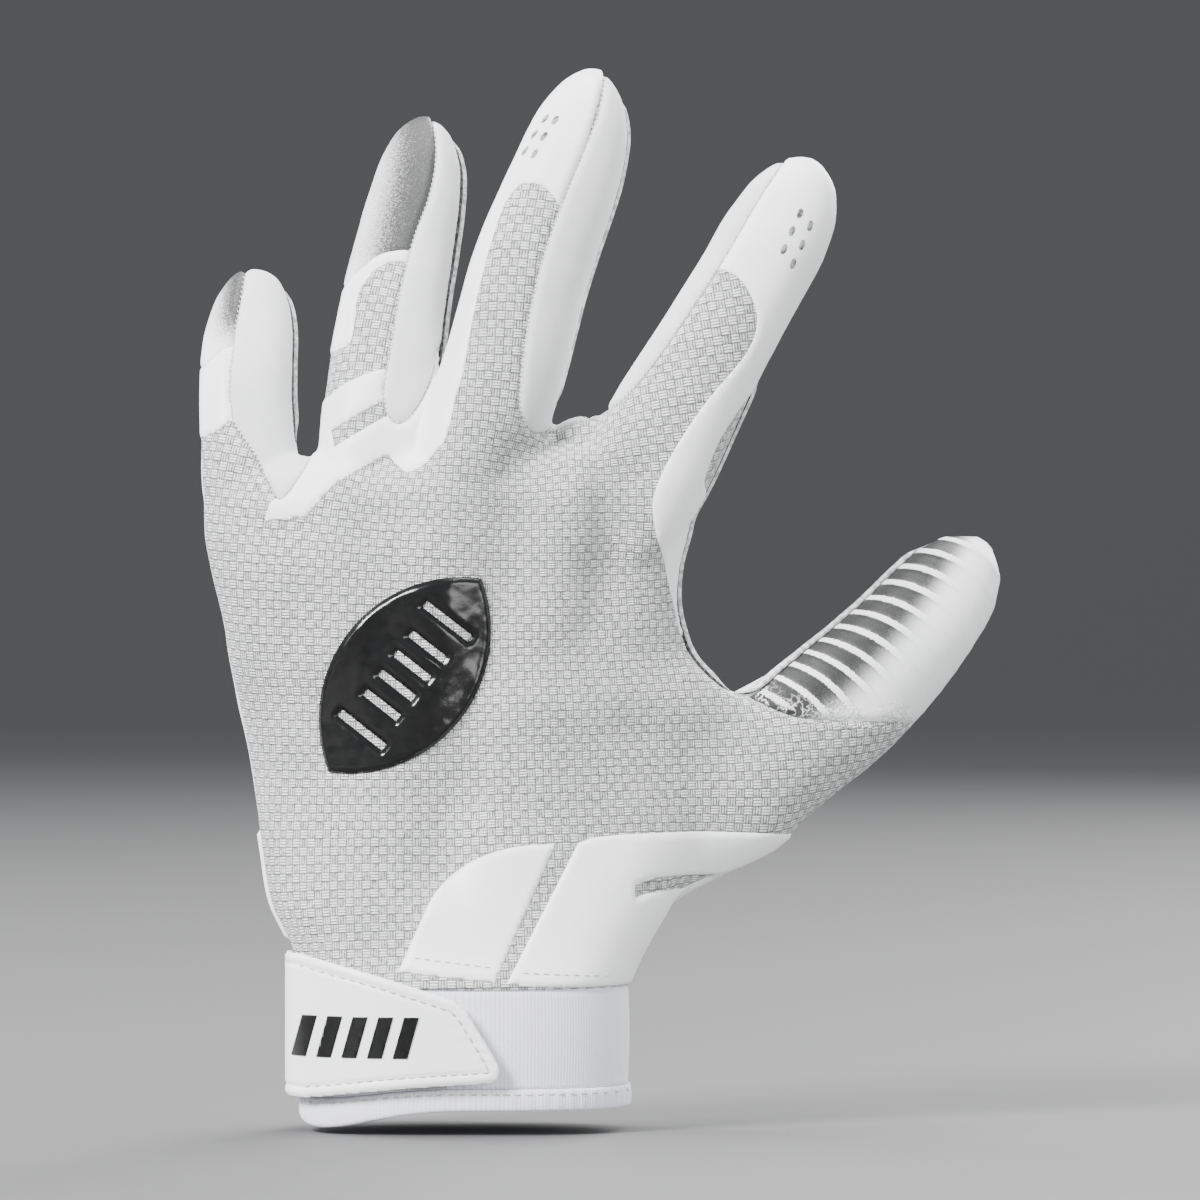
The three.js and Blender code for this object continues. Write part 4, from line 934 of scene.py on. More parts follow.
# A dark line at the foot of each rib on the white part of the thumb: painted shade.
beside = from_rib.clear(0.7, 0.9) * (1 - from_rib.clear(1.0, 1.35)) * ribbed.marks("edge").clear(0.9, 1.5)
wrinkle = ribbed.grain(0.9 * MM, 4.0)
crease = (1 - ((wrinkle - 0.5).size() * 14).clear(0.0, 1.0)) * ribbed.marks("crumpled")
cover = cover * (1 - on_rib * 0.8) * (1 - crease * 0.9) + beside * (1 - dark_share) * 0.16
white = ribbed.blend(ribbed.grain(12 * MM).clear(0.3, 0.7), grey(0.78, -0.01), grey(0.86))
ribbed.feed(Base_Color=ribbed.blend(cover.clear(0.0, 1.0), white, grey(0.018, -0.01)))
ribbed.feed(Roughness=0.34 + speckle * 0.25)
ribbed.relief(speckle * 0.15 + crease * 0.9, 0.35 * MM)
worn_in(thumb_panel, ribbed)
worn(thumb_panel, "grip", "thumb_panel")

# The gussets are smooth stretch strips between the fingers, in a fine plain knit.
stretch = Finish("stretch strip", roughness=0.72, sheen=0.15, specular=0.3)
spot = stretch.node("ShaderNodeSeparateXYZ", sockets={0: stretch.place()})
level = Signal(stretch, spot.socket.node.outputs[2])
wales = ((spot * (2 * math.pi / (0.42 * MM))).sine() + (level * (2 * math.pi / (0.5 * MM))).sine()) * 0.25 + 0.5
cloudy = stretch.grain(10 * MM)
stretch.feed(Base_Color=stretch.blend(cloudy.clear(0.3, 0.7), grey(0.6, -0.01), grey(0.66)))
stretch.relief(wales * 0.7 + stretch.grain(0.3 * MM) * 0.3, 0.035 * MM)
for name, piece in gussets.items():
    dress(piece, 0)
    worn_in(piece, stretch)
    worn(piece, "stretch", name)

# The films are thin smooth white patches, pressed hot on the knit over the fingertips, the
# knuckles and the sides of the fingers. Their edges are soft and stand a hair proud.
FILM_LIFT = 0.3
film = Finish("smooth film", roughness=0.46, specular=0.4)
haze = film.grain(16 * MM)
film.feed(Base_Color=film.blend(haze.clear(0.3, 0.7), grey(0.84, -0.005), grey(0.9)))
film.relief(film.grain(1.1 * MM, 3.0), 0.05 * MM)


def patch(name, edge, lift=FILM_LIFT, soft=0.9, finer=False):
    """A film cut from the back by an outline, raised inside its soft edge."""
    piece = skinned(cut(copy_of(knit_form, name), prism(edge), "INTERSECT", last=True))
    if finer:
        finish_with(piece, "SUBSURF", subdivision_type="SIMPLE", levels=1, render_levels=1)
    inside = far_from(tree_of(rim_of(piece)), places(piece))
    return piece, 0.08 + lift * step(inside, 0, soft)


KNUCKLE = outline(
    [(33, 232), (30, 223), (27, 212), (24, 197)],
    [(24, 197), (21.4, 197.2), (19.6, 199.6), (17.4, 201.8), (14.6, 202.7), (11.8, 201.9), (9.4, 199), (7.4, 194.5), (5.3, 187.5), (3.2, 179), (1.4, 170.5), (0, 161.7), (-2, 155), (-3.1, 149.6), (-4.2, 146.3), (-6, 143.9), (-9.2, 140.5), (-12.6, 139)],
    [(-12.6, 139), (-15, 141), (-16.5, 142.8)],
    [(-16.5, 142.8), (-18.3, 142.4), (-22.2, 140.2), (-27.7, 137), (-30.6, 134.2), (-34.6, 129.4)],
    [(-34.6, 129.4), (-40.9, 128.9), (-43.8, 128.4)],
    [(-43.8, 128.4), (-42.8, 132), (-41, 134)],
    [(-41, 134), (-36.3, 150)],
    [(-36.3, 150), (-35, 155.5), (-30.8, 155.4), (-26.4, 158.6), (-19.8, 161.4), (-15, 162)],
    [(-15, 162), (-15, 156.2)],
    [(-15, 156.2), (-17.2, 155.2), (-23, 152), (-29.2, 148.4)],
    [(-29.2, 148.4), (-28.6, 144.8)],
    [(-28.6, 144.8), (-23, 148.2), (-16.8, 151.6), (-13, 152)],
    [(-13, 152), (-8, 160), (-8, 170), (-4, 182), (3, 197), (12, 214), (20, 231)],
    [(20, 231), (33, 232)],
)
RING_BAND = [(-37, 171), (-29.9, 174.5), (-26.4, 180.4), (-22, 184.8), (-18.7, 187.2), (-13.9, 188.1), (-8, 188)]
PINKY_BAND = [(-70, 157), (-58.5, 162.2), (-54.5, 165.4), (-50.6, 167.4), (-46, 168)]
FILMS = {
    "pinky_film": outline(
        PINKY_BAND,
        [(-46, 168), (-46, 151.5)],
        [(-46, 151.5), (-50.9, 151), (-54, 148.6), (-57.8, 146.8), (-70, 143)],
        [(-70, 143), (-70, 157)],
    ),
    "ring_film": outline(
        RING_BAND,
        [(-8, 188), (-8, 185.4)],
        [(-8, 185.4), (-15, 185.5), (-18.7, 184.4), (-22, 181), (-23.8, 177), (-24.2, 172.7), (-25.3, 167.6), (-28.6, 165.7), (-32, 163.2), (-37, 161.5)],
        [(-37, 161.5), (-37, 171)],
    ),
    "knuckle_film": KNUCKLE,
    "index_film": outline(
        [(60, 214), (52, 190), (54.5, 183.8)],
        [(54.5, 183.8), (56.5, 183.6), (60.5, 181.5), (63.6, 176), (64, 170.5), (61.6, 165), (56.1, 158.4), (51.7, 152.9), (47.3, 146.3), (43.6, 139.7), (41.6, 134.6), (41.2, 131.4), (41.8, 126.5), (43.6, 119.9), (45.5, 111.1), (47.3, 103.4)],
        [(47.3, 103.4), (52, 102)],
        [(52, 102), (51, 112), (50.7, 122), (53, 134.6)],
        [(53, 134.6), (52.6, 137.3), (53.9, 141.4), (56.5, 147.2), (61, 154), (64.4, 158.6)],
        [(64.4, 158.6), (72, 160)],
        [(72, 160), (80, 182), (88, 196), (86, 214), (74, 222), (60, 214)],
    ),
}
for name, edge in FILMS.items():
    piece, lift = patch(name + "_sheet", edge)
    dress(piece, lift, wall=0.25)
    worn_in(piece, film)
    worn(piece, "smooth_film", name)

# The pinky's and ring finger's tips have a film with a dark speckle that fades to white towards
# their outer sides.
speckled = Finish("speckled film", roughness=0.5, specular=0.35)
speckle = speckled.grain(0.12 * MM, 1.0)
spots = (speckle + speckled.grain(0.3 * MM, 1.0) * 0.4).clear(0.5, 0.9)
cover = (speckled.marks("dark") * (0.84 + 0.6 * spots)).clear(0.0, 1.0) * 0.97
speckled.feed(Base_Color=speckled.blend(cover, grey(0.84), grey(0.018, -0.01)))
speckled.feed(Roughness=0.4 + speckle * 0.25)
speckled.relief(speckle, 0.07 * MM)
TIPS = {
    "pinky_tip_film": outline(
        PINKY_BAND[::-1],
        [(-70, 157), (-66, 190), (-40, 190)],
        [(-40, 190), (-46, 168)],
    ),
    "ring_tip_film": outline(
        RING_BAND[::-1],
        [(-37, 171), (-32, 205), (-20, 225), (-2, 224)],
        [(-2, 224), (-8, 188)],
    ),
}
for name, edge in TIPS.items():
    piece, lift = patch(name + "_sheet", edge, finer=True)
    where = places(piece)
    digit = name.split("_")[0]
    along_tip, across_tip = on_line(digit, where)
    if digit == "ring":
        dark = (0.32 + 0.68 * step(across_tip, -0.85, 0.02)) * step(along_tip, 50, 68)
    else:
        dark = (0.24 + 0.7 * step(across_tip, -0.9, -0.3)) * step(along_tip, 40, 56)
    give_marks(piece, "dark", dark)
    dress(piece, lift, wall=0.25)
    worn_in(piece, speckled)
    worn(piece, "speckled_grip", name)

# The wrist and thumb patches are smooth coated cloth laid over the knit, held by a row of
# stitches along the wrist. The heel's patch wraps the palm's outer edge.
coated = Finish("coated cloth", roughness=0.4, specular=0.45)
pores = coated.grain(0.45 * MM, 3.0)
coated.feed(Base_Color=coated.blend(coated.grain(20 * MM).clear(0.3, 0.7), grey(0.92, -0.005), grey(0.95)))
coated.feed(Roughness=0.34 + pores * 0.14)
coated.relief(pores, 0.05 * MM)
PATCHES = {
    "wrist_patch": outline(
        palm((-0.275, 0.034), (-0.208, 0.1), (-0.123, 0.177), (0.008, 0.23), (0.18, 0.26), (0.385, 0.269)),
        palm((0.385, 0.269), (0.13, 0.014)),
        palm((0.13, 0.014), (-0.275, 0.034)),
    ),
    "thumb_patch": outline(
        palm((0.18, 0.012), (0.48, 0.27)),
        palm((0.48, 0.27), (0.56, 0.28), (0.74, 0.285), (1.05, 0.286), (1.4, 0.278)),
        palm((1.4, 0.278), (1.7, 0.26)),
        palm((1.7, 0.26), (1.3, 0.206)),
        palm((1.3, 0.206), (0.85, 0.203), (0.72, 0.19)),
        palm((0.72, 0.19), (0.72, 0.168)),
        palm((0.72, 0.168), (0.84, 0.178), (1.3, 0.188)),
        palm((1.3, 0.188), (1.3, 0.004)),
        palm((1.3, 0.004), (0.4, 0.004), (0.18, 0.012)),
    ),
}
HEEL = outline(
    palm((-1.3, 0.285), (-0.75, 0.285), (-0.4, 0.25), (-0.3, 0.16)),
    palm((-0.3, 0.16), (-0.45, 0.085)),
    palm((-0.45, 0.085), (-1.3, 0.085)),
    palm((-1.3, 0.085), (-1.3, 0.285)),
)
for name, edge in PATCHES.items():
    piece, lift = patch(name + "_sheet", edge, lift=0.5, soft=0.8)
    dress(piece, lift, wall=0.3)
    worn_in(piece, coated)
    worn(piece, "coated_cloth", name)
heel = cut(copy_of(hand, "heel_patch_sheet"), palm_block, "INTERSECT")
skinned(cut(heel, prism(HEEL), "INTERSECT", last=True))
inside = far_from(tree_of(rim_of(heel)), places(heel))
dress(heel, 0.08 + 0.7 * step(inside, 0, 0.8), wall=0.3)
worn_in(heel, coated)
worn(heel, "coated_cloth", "heel_patch")

# The badge is a plain ball with laces, moulded in thick glossy black rubber and pressed on the
# back. Its laces and bands are cut through to the knit.
BADGE = dict(length=54, width=31, tilt=52, cut=1.7, lift=0.95)


def badge_outlines():
    half, width = BADGE["length"] / 2, BADGE["width"] / 2
    radius = (half**2 + width**2) / (2 * width)
    arc = math.asin(half / radius)
    turn = np.exp(1j * math.radians(BADGE["tilt"]))
    centre = complex(*palm((-0.25, 0.58))[0])

    def placed(points):
        points = np.array([complex(*p) for p in points]) * turn + centre
        return np.stack([points.real, points.imag], axis=1)

    side = [
        (radius * math.sin(a), width - radius + radius * math.cos(a))
        for a in np.linspace(-arc, arc, 41)
    ]
    edge = side + [(x, -y) for x, y in side[::-1][1:-1]]

    def slot(x, wide):
        a, b = BADGE["cut"] / 2, wide
        return [(x - a, -b), (x + a, -b), (x + a, b), (x - a, b)]

    slots = [slot(sign * half * 0.56, width * 0.4) for sign in (-1, 1)]
    slots += [slot(n * half * 0.2, width * 0.3) for n in (-1.5, -0.5, 0.5, 1.5)]
    return placed(edge), [placed(s) for s in slots]


edge, slots = badge_outlines()
badge = cut(copy_of(back_side, "back_badge_rubber"), prism(edge), "INTERSECT", last=True)
for hole in slots:
    cut(badge, prism(hole), "DIFFERENCE", last=True)
skinned(badge)
finish_with(badge, "SUBSURF", subdivision_type="SIMPLE", levels=1, render_levels=1)
where = places(badge)
inside = far_from(tree_of(rim_of(badge)), where)
crumple = np.array([noise.noise(Vector(p) * 420) for p in where])
dress(badge, 0.15 + BADGE["lift"] * step(inside, -0.3, 1.3) + 0.12 * crumple * step(inside, 0.4, 1.6), wall=0.5)
rubber = Finish("black rubber", roughness=0.2, specular=0.35, coat=0.12)
skin_marks = rubber.grain(1.4 * MM, 3.0)
rubber.feed(Base_Color=rubber.blend(skin_marks, grey(0.002), grey(0.006)))
rubber.feed(Roughness=0.12 + skin_marks * 0.2)
rubber.relief(skin_marks, 0.12 * MM)
worn_in(badge, rubber)
worn(badge, "black_rubber", "back_badge")

# The cuff is a tube of fine ribbed elastic knit, open below, with the hem's binding folded round
# its edge and sewn with one row of stitches.
CUFF = dict(half_width=36, half_depth=25, height=26.4, wall=1.8)
HEM_HEIGHT, HEM_WALL, HEM_DIP = 4.8, 2.6, 4.0


def wrist(offset, height, angle):
    """A place on the cuff's outside moved out by offset, at an angle from the thumb side."""
    s = dict(
        x=0, y=0, z=height, arch=0, tilt=0, thin=0,
        half_width=CUFF["half_width"] + offset, half_depth=CUFF["half_depth"] + offset,
    )
    return section_ring(s, -angle)


def dip_at(angle):
    far = (angle - math.radians(148) + math.pi) % (2 * math.pi) - math.pi
    return HEM_DIP * np.maximum(0, np.cos(far * 1.5)) ** 2 * (np.abs(far) < math.radians(60))


def hem_top(angle):
    return HEM_HEIGHT - dip_at(angle) * 0.6


def band(name, rings):
    """A sheet round the wrist from rings of points, without caps."""
    piece = drawn(name, np.array(rings) * MM)
    only(piece)
    bpy.ops.object.mode_set(mode="EDIT")
    bpy.ops.mesh.select_all(action="SELECT")
    bpy.ops.mesh.remove_doubles(threshold=1e-6)
    bpy.ops.object.mode_set(mode="OBJECT")
    facing, where = directions(piece), places(piece)
    if (facing[:, 0] * where[:, 0] + facing[:, 1] * where[:, 1]).sum() < 0:
        piece.data.flip_normals()
    return piece


turns = np.linspace(0, 2 * np.pi, 241)
rings = []
for share in np.linspace(0, 1, 30):
    low = hem_top(turns) + 0.1
    height = low + (CUFF["height"] + 1.2 - low) * share
    puff = -0.15 + 0.35 * math.sin(math.pi * share) - 0.8 * max(0, share - 0.9) * 10
    rings.append(wrist(puff, height, turns))
cuff = band("cuff_band_cloth", rings)
finish_with(cuff, "SOLIDIFY", thickness=CUFF["wall"] * MM, offset=-1)
only(cuff)
bpy.ops.object.shade_smooth()
elastic = Finish("ribbed elastic", roughness=0.82, sheen=0.2, specular=0.25)
laid = elastic.node("ShaderNodeSeparateXYZ", sockets={0: elastic.node("ShaderNodeUVMap", {"uv_map": "UVMap"})})
round_way = laid * 200
up_way = Signal(elastic, laid.socket.node.outputs[1]) * 23
rib_of = (round_way * (2 * math.pi / 0.75)).sine() * 0.5 + 0.5
loop_of = (up_way * (2 * math.pi / 0.6) + (round_way * (2 * math.pi / 1.5)).sine() * 1.4).sine() * 0.5 + 0.5
pile = rib_of * 0.5 + loop_of * 0.3 + elastic.grain(0.4 * MM) * 0.3
# The colour is darker in the hollows of the ribs and loops, as painted shade, with a random grain.
elastic.feed(Base_Color=elastic.blend(pile.clear(0.1, 0.9), (0.66, 0.66, 0.725, 1), (0.80, 0.80, 0.86, 1)))
elastic.relief(pile, 0.07 * MM)
worn_in(cuff, elastic)
worn(cuff, "cuff_knit", "cuff_band")

inner = -(CUFF["wall"] + HEM_WALL) / 2
profile = [
    (0.08, 0), (0.0, 0.12), (0, 0.3), (0, 0.5), (0, 0.7), (0, 0.88), (0.08, 1), (0.3, 1.0), (0.5, 1.0),
    (0.7, 1.0), (0.92, 1), (1, 0.88), (1.03, 0.7), (1.04, 0.5), (1.03, 0.3), (1, 0.12), (0.92, 0),
    (0.7, 0.0), (0.5, 0.0), (0.3, 0.0), (0.08, 0),
]
pucker = 0.10 * np.sin(turns * 62)
rings = []
for out_share, up_share in profile:
    low, high = -dip_at(turns), hem_top(turns)
    offset = inner + HEM_WALL * out_share + pucker * (out_share > 0.5)
    rings.append(
        np.stack([
            section_ring(
                dict(x=0, y=0, z=l + (h - l) * up_share, arch=0, tilt=0, thin=0,
                     half_width=CUFF["half_width"] + o, half_depth=CUFF["half_depth"] + o),
                np.array([-t]),
            )[0]
            for t, l, h, o in zip(turns, low, high, offset)
        ])
    )
binding = band("cuff_binding_cloth", rings)
only(binding)
bpy.ops.object.shade_smooth()
worn_in(binding, elastic)
worn(binding, "cuff_knit", "cuff_binding")

# The strap is a stiff tab of coated cloth with a stitched edge. It comes round the outer side
# from the palm, over a pad of hook tape, and closes on the back of the cuff.
STRAP = dict(height=31.5, reach=8.4, palm_reach=6, wall=1.4, middle=26.4 * 0.69)
HOOK = dict(height=23, wall=1.0)
hook_inner = 0.4 + (2.8 - 2) / 2
strap_inner = hook_inner + HOOK["wall"] + 0.4
strap_top = STRAP["middle"] + STRAP["height"] / 2
strap_bottom = STRAP["middle"] - STRAP["height"] / 2
hook_bottom = HEM_HEIGHT - HEM_DIP * 0.6
far_left = -2 * CUFF["half_width"]
H, R, W = STRAP["height"], STRAP["reach"], CUFF["half_width"]
front_strap = outline(
    [(far_left, strap_top), (-W, strap_top)],
    [
        (-W, strap_top), (-W * 0.55, strap_top - H * 0.13), (R - H * 0.38, strap_top - H * 0.29),
        (R - H * 0.3, strap_top - H * 0.33), (R - H * 0.24, strap_top - H * 0.39),
    ],
    [(R - H * 0.24, strap_top - H * 0.39), (R - H * 0.07, strap_bottom + H * 0.33)],
    [
        (R - H * 0.07, strap_bottom + H * 0.33), (R - H * 0.025, strap_bottom + H * 0.24),
        (R - H * 0.02, strap_bottom + H * 0.18), (R - H * 0.055, strap_bottom + H * 0.135),
        (R - H * 0.13, strap_bottom + H * 0.12),
    ],
    [(R - H * 0.13, strap_bottom + H * 0.12), (-W * 0.4, strap_bottom + H * 0.08), (-W, strap_bottom)],
    [(-W, strap_bottom), (far_left, strap_bottom)],
    [(far_left, strap_bottom), (far_left, strap_top)],
)
P = STRAP["palm_reach"]
rear_strap = outline(
    [(far_left, strap_bottom), (-W, strap_bottom)],
    [(-W, strap_bottom), (-W * 0.5, strap_bottom + H * 0.05), (P - H * 0.1, strap_bottom + H * 0.09)],
    [
        (P - H * 0.1, strap_bottom + H * 0.09), (P - H * 0.02, strap_bottom + H * 0.12),
        (P, strap_bottom + H * 0.2),
    ],
    [(P, strap_bottom + H * 0.2), (P, strap_top - H * 0.3)],
    [(P, strap_top - H * 0.3), (P - H * 0.03, strap_top - H * 0.22), (P - H * 0.12, strap_top - H * 0.19)],
    [(P - H * 0.12, strap_top - H * 0.19), (-W * 0.55, strap_top - H * 0.07), (-W, strap_top)],
    [(-W, strap_top), (far_left, strap_top)],
)
front_hook = np.array([
    (far_left, hook_bottom), (-W * 0.1, HEM_HEIGHT + 0.4),
    (-W * 0.1, hook_bottom + HOOK["height"] * 0.8), (far_left, hook_bottom + HOOK["height"]),
])
rear_hook = np.array([
    (far_left, hook_bottom), (0, hook_bottom), (0, hook_bottom + HOOK["height"]),
    (far_left, hook_bottom + HOOK["height"]),
])


def half_prism(points, low, high):
    """The outline pushed from depth low to depth high only, in metres."""
    bpy.ops.object.select_all(action="DESELECT")
    bpy.ops.mesh.primitive_circle_add(vertices=len(points), radius=1, fill_type="NGON")
    piece = bpy.context.active_object
    move_to(piece, np.stack([points[:, 0] * MM, np.full(len(points), low), points[:, 1] * MM], axis=1))
    return thickened(piece, (0, high - low, 0))


def wrapped(name, offset, front_edge, rear_edge, low, high):
    """An open sheet round the cuff at an offset, cut by one outline in front and one behind."""
    rings = [wrist(offset, np.full(len(turns), h), turns) for h in np.arange(low, high, 0.35)]
    piece = band(name, rings)
    for material in ("skin", "cut"):
        piece.data.materials.append(bpy.data.materials[material])
    finish_with(piece, "SOLIDIFY", thickness=1 * MM, offset=-1, material_offset=1, material_offset_rim=1)
    region = half_prism(front_edge, -0.08, 0.0001)
    if rear_edge is not None:
        cut(region, half_prism(rear_edge, 0, 0.08), "UNION", last=True)
    return skinned(cut(piece, region, "INTERSECT", last=True))


def wrist_normals(where):
    """Straight out from the cuff at each place."""
    a, b = CUFF["half_width"], CUFF["half_depth"]
    out = np.stack([
        signed_power(where[:, 0] / a, 1.4) / a, signed_power(where[:, 1] / b, 1.4) / b, 0 * where[:, 0],
    ], axis=1)
    return out / np.linalg.norm(out, axis=1)[:, None]


def lay_on_cuff(piece, lift, wall):
    where = places(piece)
    move_to(piece, where + wrist_normals(where) * np.asarray(lift)[:, None] * MM)
    finish_with(piece, "SOLIDIFY", thickness=wall * MM, offset=-1)
    only(piece)
    bpy.ops.object.shade_smooth()


hook_pad = wrapped("hook_pad_tape", hook_inner + HOOK["wall"], front_hook, rear_hook, 0, 27)
inside = far_from(tree_of(rim_of(hook_pad)), places(hook_pad))
lay_on_cuff(hook_pad, -0.4 + 0.4 * step(inside, 0, 1), 0.9)
tape = Finish("hook tape", roughness=0.9, specular=0.2)
hooks = tape.node("ShaderNodeTexVoronoi", sockets={"Vector": tape.place(), "Scale": 1100.0})
# The tape is darker between the hooks, where it lies low: painted shade.
tape.feed(Base_Color=tape.blend(hooks.clear(0.1, 0.6), grey(0.72, -0.01), grey(0.36, -0.01)))
tape.relief(1 - hooks, 0.4 * MM)
worn_in(hook_pad, tape)
worn(hook_pad, "hook_tape", "hook_pad")

strap = wrapped(
    "closure_strap_tab", strap_inner + STRAP["wall"], front_strap, rear_strap, strap_bottom - 1.5, strap_top + 1.5
)
STITCH_IN = 2.4
where = places(strap)
inside = far_from(tree_of(rim_of(strap)), where)
groove = -0.3 * np.exp(-(((inside - STITCH_IN) / 0.45) ** 2))
lay_on_cuff(strap, -0.5 + 0.5 * step(inside, 0, 0.9) + groove, STRAP["wall"] - 0.2)
worn_in(strap, coated)
worn(strap, "coated_cloth", "closure_strap")

# Five plain slanted bars in black rubber are printed on the strap.
BAR = dict(height=9, width=3.2, pitch=5.6, count=5)
for i in range(BAR["count"]):
    x = -W * 0.66 + (i - (BAR["count"] - 1) / 2) * BAR["pitch"]
    slant = BAR["height"] * 0.28
    low, high = STRAP["middle"] - 2 - BAR["height"] / 2, STRAP["middle"] - 2 + BAR["height"] / 2
    edge = np.array([
        (x - BAR["width"] / 2 - slant / 2, low), (x + BAR["width"] / 2 - slant / 2, low),
        (x + BAR["width"] / 2 + slant / 2, high), (x - BAR["width"] / 2 + slant / 2, high),
    ])
    bar = wrapped(
        f"strap_bar_{i + 1}", strap_inner + STRAP["wall"] + 0.02, edge, None, low - 1, high + 1
    )
    lay_on_cuff(bar, np.full(len(bar.data.vertices), 0.22), 0.3)
    worn_in(bar, rubber)
    worn(bar, "black_rubber", f"strap_mark_{i + 1}")

# Threads. Small slanting stitches bind the back's edge to the gussets, straight ones hold the
# patches, the strap's edge and the hem.
thread = Finish("white thread", roughness=0.7, sheen=0.1, specular=0.3)
twist = thread.grain(0.25 * MM, 2.0)
thread.feed(Base_Color=thread.blend(twist.clear(0.3, 0.7), grey(0.38, -0.01), grey(0.66)))
thread.relief(twist, 0.06 * MM)
bpy.ops.object.select_all(action="DESELECT")
bpy.ops.mesh.primitive_uv_sphere_add(segments=8, ring_count=6, radius=1)
stitch = bpy.context.active_object
stitch_shape = places(stitch)
stitch_faces = [tuple(face.vertices) for face in stitch.data.polygons]
bpy.data.objects.remove(stitch)


def surface_of(*pieces):
    """All these pieces as one surface to sew on."""
    points, faces = [], []
    for piece in pieces:
        faces.extend([tuple(v + len(points) for v in face.vertices) for face in piece.data.polygons])
        points.extend(tuple(v.co) for v in piece.data.vertices)
    return BVHTree.FromPolygons(points, faces)


def every(path, pitch):
    """Points and directions at equal steps along a path of (x, z)."""
    path = np.asarray(path, float)
    run = np.concatenate([[0], np.cumsum(np.linalg.norm(np.diff(path, axis=0), axis=1))])
    at = np.arange(pitch / 2, run[-1], pitch)
    spot = np.stack([np.interp(at, run, path[:, k]) for k in (0, 1)], axis=1)
    ahead = np.stack([np.interp(at + 0.3, run, path[:, k]) for k in (0, 1)], axis=1)
    behind = np.stack([np.interp(at - 0.3, run, path[:, k]) for k in (0, 1)], axis=1)
    return spot, ahead - behind


def sewn(name, paths, surface, pitch, size, turn=0.0, lift=0.0, side=-1, finish=None):
    """Rows of one stitch of a given size along paths seen from the back, or from the palm."""
    points, faces = [], []
    for path in paths:
        for spot, way in zip(*every(path, pitch)):
            start = Vector((spot[0] * MM, side * 0.2, spot[1] * MM))
            hit, out, _, _ = surface.ray_cast(start, Vector((0, -side, 0)))
            if hit is None or out.y * side < 0.12:
                continue
            along = Vector((way[0], 0, way[1]))
            along = (along - out * along.dot(out)).normalized()
            over = out.cross(along)
            along, over = (
                along * math.cos(turn) + over * math.sin(turn),
                over * math.cos(turn) - along * math.sin(turn),
            )
            frame_of = np.array([along, over, out]) * (np.array(size) * MM)[:, None]
            base = len(points)
            points.extend(stitch_shape @ frame_of + np.array(hit + out * lift * MM))
            faces.extend(tuple(v + base for v in face) for face in stitch_faces)
    mesh = bpy.data.meshes.new(name)
    mesh.from_pydata([tuple(p) for p in points], [], faces)
    mesh.update()
    piece = bpy.data.objects.new(name, mesh)
    bpy.context.collection.objects.link(piece)
    only(piece)
    bpy.ops.object.shade_smooth()
    worn_in(piece, finish or thread)
    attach(piece, "root")
    return piece


body = surface_of(back_panel, thumb_panel, *gussets.values())
binding_rows = [
    outline(mixed(pinky(*PINKY_SEAM), PINKY_CROTCH)),
    outline(mixed(ring(*RING_SEAM), RING_CROTCH)),
    outline(mixed(middle(*MIDDLE_SEAM), MIDDLE_CROTCH, index(*INDEX_SEAM[::-1]))),
]
edges = sewn("gusset_stitches", binding_rows, body, 1.1, (0.6, 0.2, 0.18), turn=0.6, lift=0.06)
patches = surface_of(*[bpy.data.objects[name + "_sheet"] for name in PATCHES])
patch_rows = [palm((-0.215, 0.06), (0.11, 0.042)), palm((0.24, 0.032), (0.6, 0.024))]
held = sewn("patch_stitches", patch_rows, patches, 2.2, (0.8, 0.2, 0.2), lift=0.02)


def inset(points, depth):
    """An open path of (x, z) moved to its right by depth."""
    points = np.asarray(points, float)
    way = np.gradient(points, axis=0)
    way /= np.linalg.norm(way, axis=1)[:, None]
    return points + np.stack([way[:, 1], -way[:, 0]], axis=1) * depth


tab = surface_of(strap)
open_edge = np.array([p for p in front_strap if p[0] > far_left + 1])
strap_row = sewn("strap_stitches", [inset(open_edge, STITCH_IN)], tab, 2.3, (0.85, 0.24, 0.22), lift=0.06)
hem_way = np.linspace(math.radians(2), math.radians(178), 90)
hem_line = [
    (wrist(1, 0, np.array([a]))[0][0], float(hem_top(a) - 1.1)) for a in hem_way
]
hem_row = sewn("hem_stitches", [hem_line], surface_of(binding), 2.4, (0.9, 0.25, 0.2), lift=0.02)
thumb_row = palm((1.14, 0.553), (1.24, 0.52), (1.4, 0.49), (1.6, 0.48), (1.84, 0.474))
thumb_row = sewn("thumb_stitches", [thumb_row], body, 1.5, (0.6, 0.2, 0.18), turn=0.3, lift=0.04)

# The turned edges. Along the far side of each finger, round the web and up the thumb, the palm's
# edge is turned out and sewn as a thin raised rim, with a dark seam on each side of it. The inner
# one lies in the crease by the rim and is partly dark thread and partly painted shade of that crease.
rim_finish = Finish("turned edge", roughness=0.5, specular=0.35)
worn_rim = rim_finish.grain(0.6 * MM, 3.0)
rim_finish.feed(Base_Color=rim_finish.blend(worn_rim.clear(0.35, 0.65), grey(0.3, -0.01), grey(0.7)))
rim_finish.relief(worn_rim, 0.12 * MM)
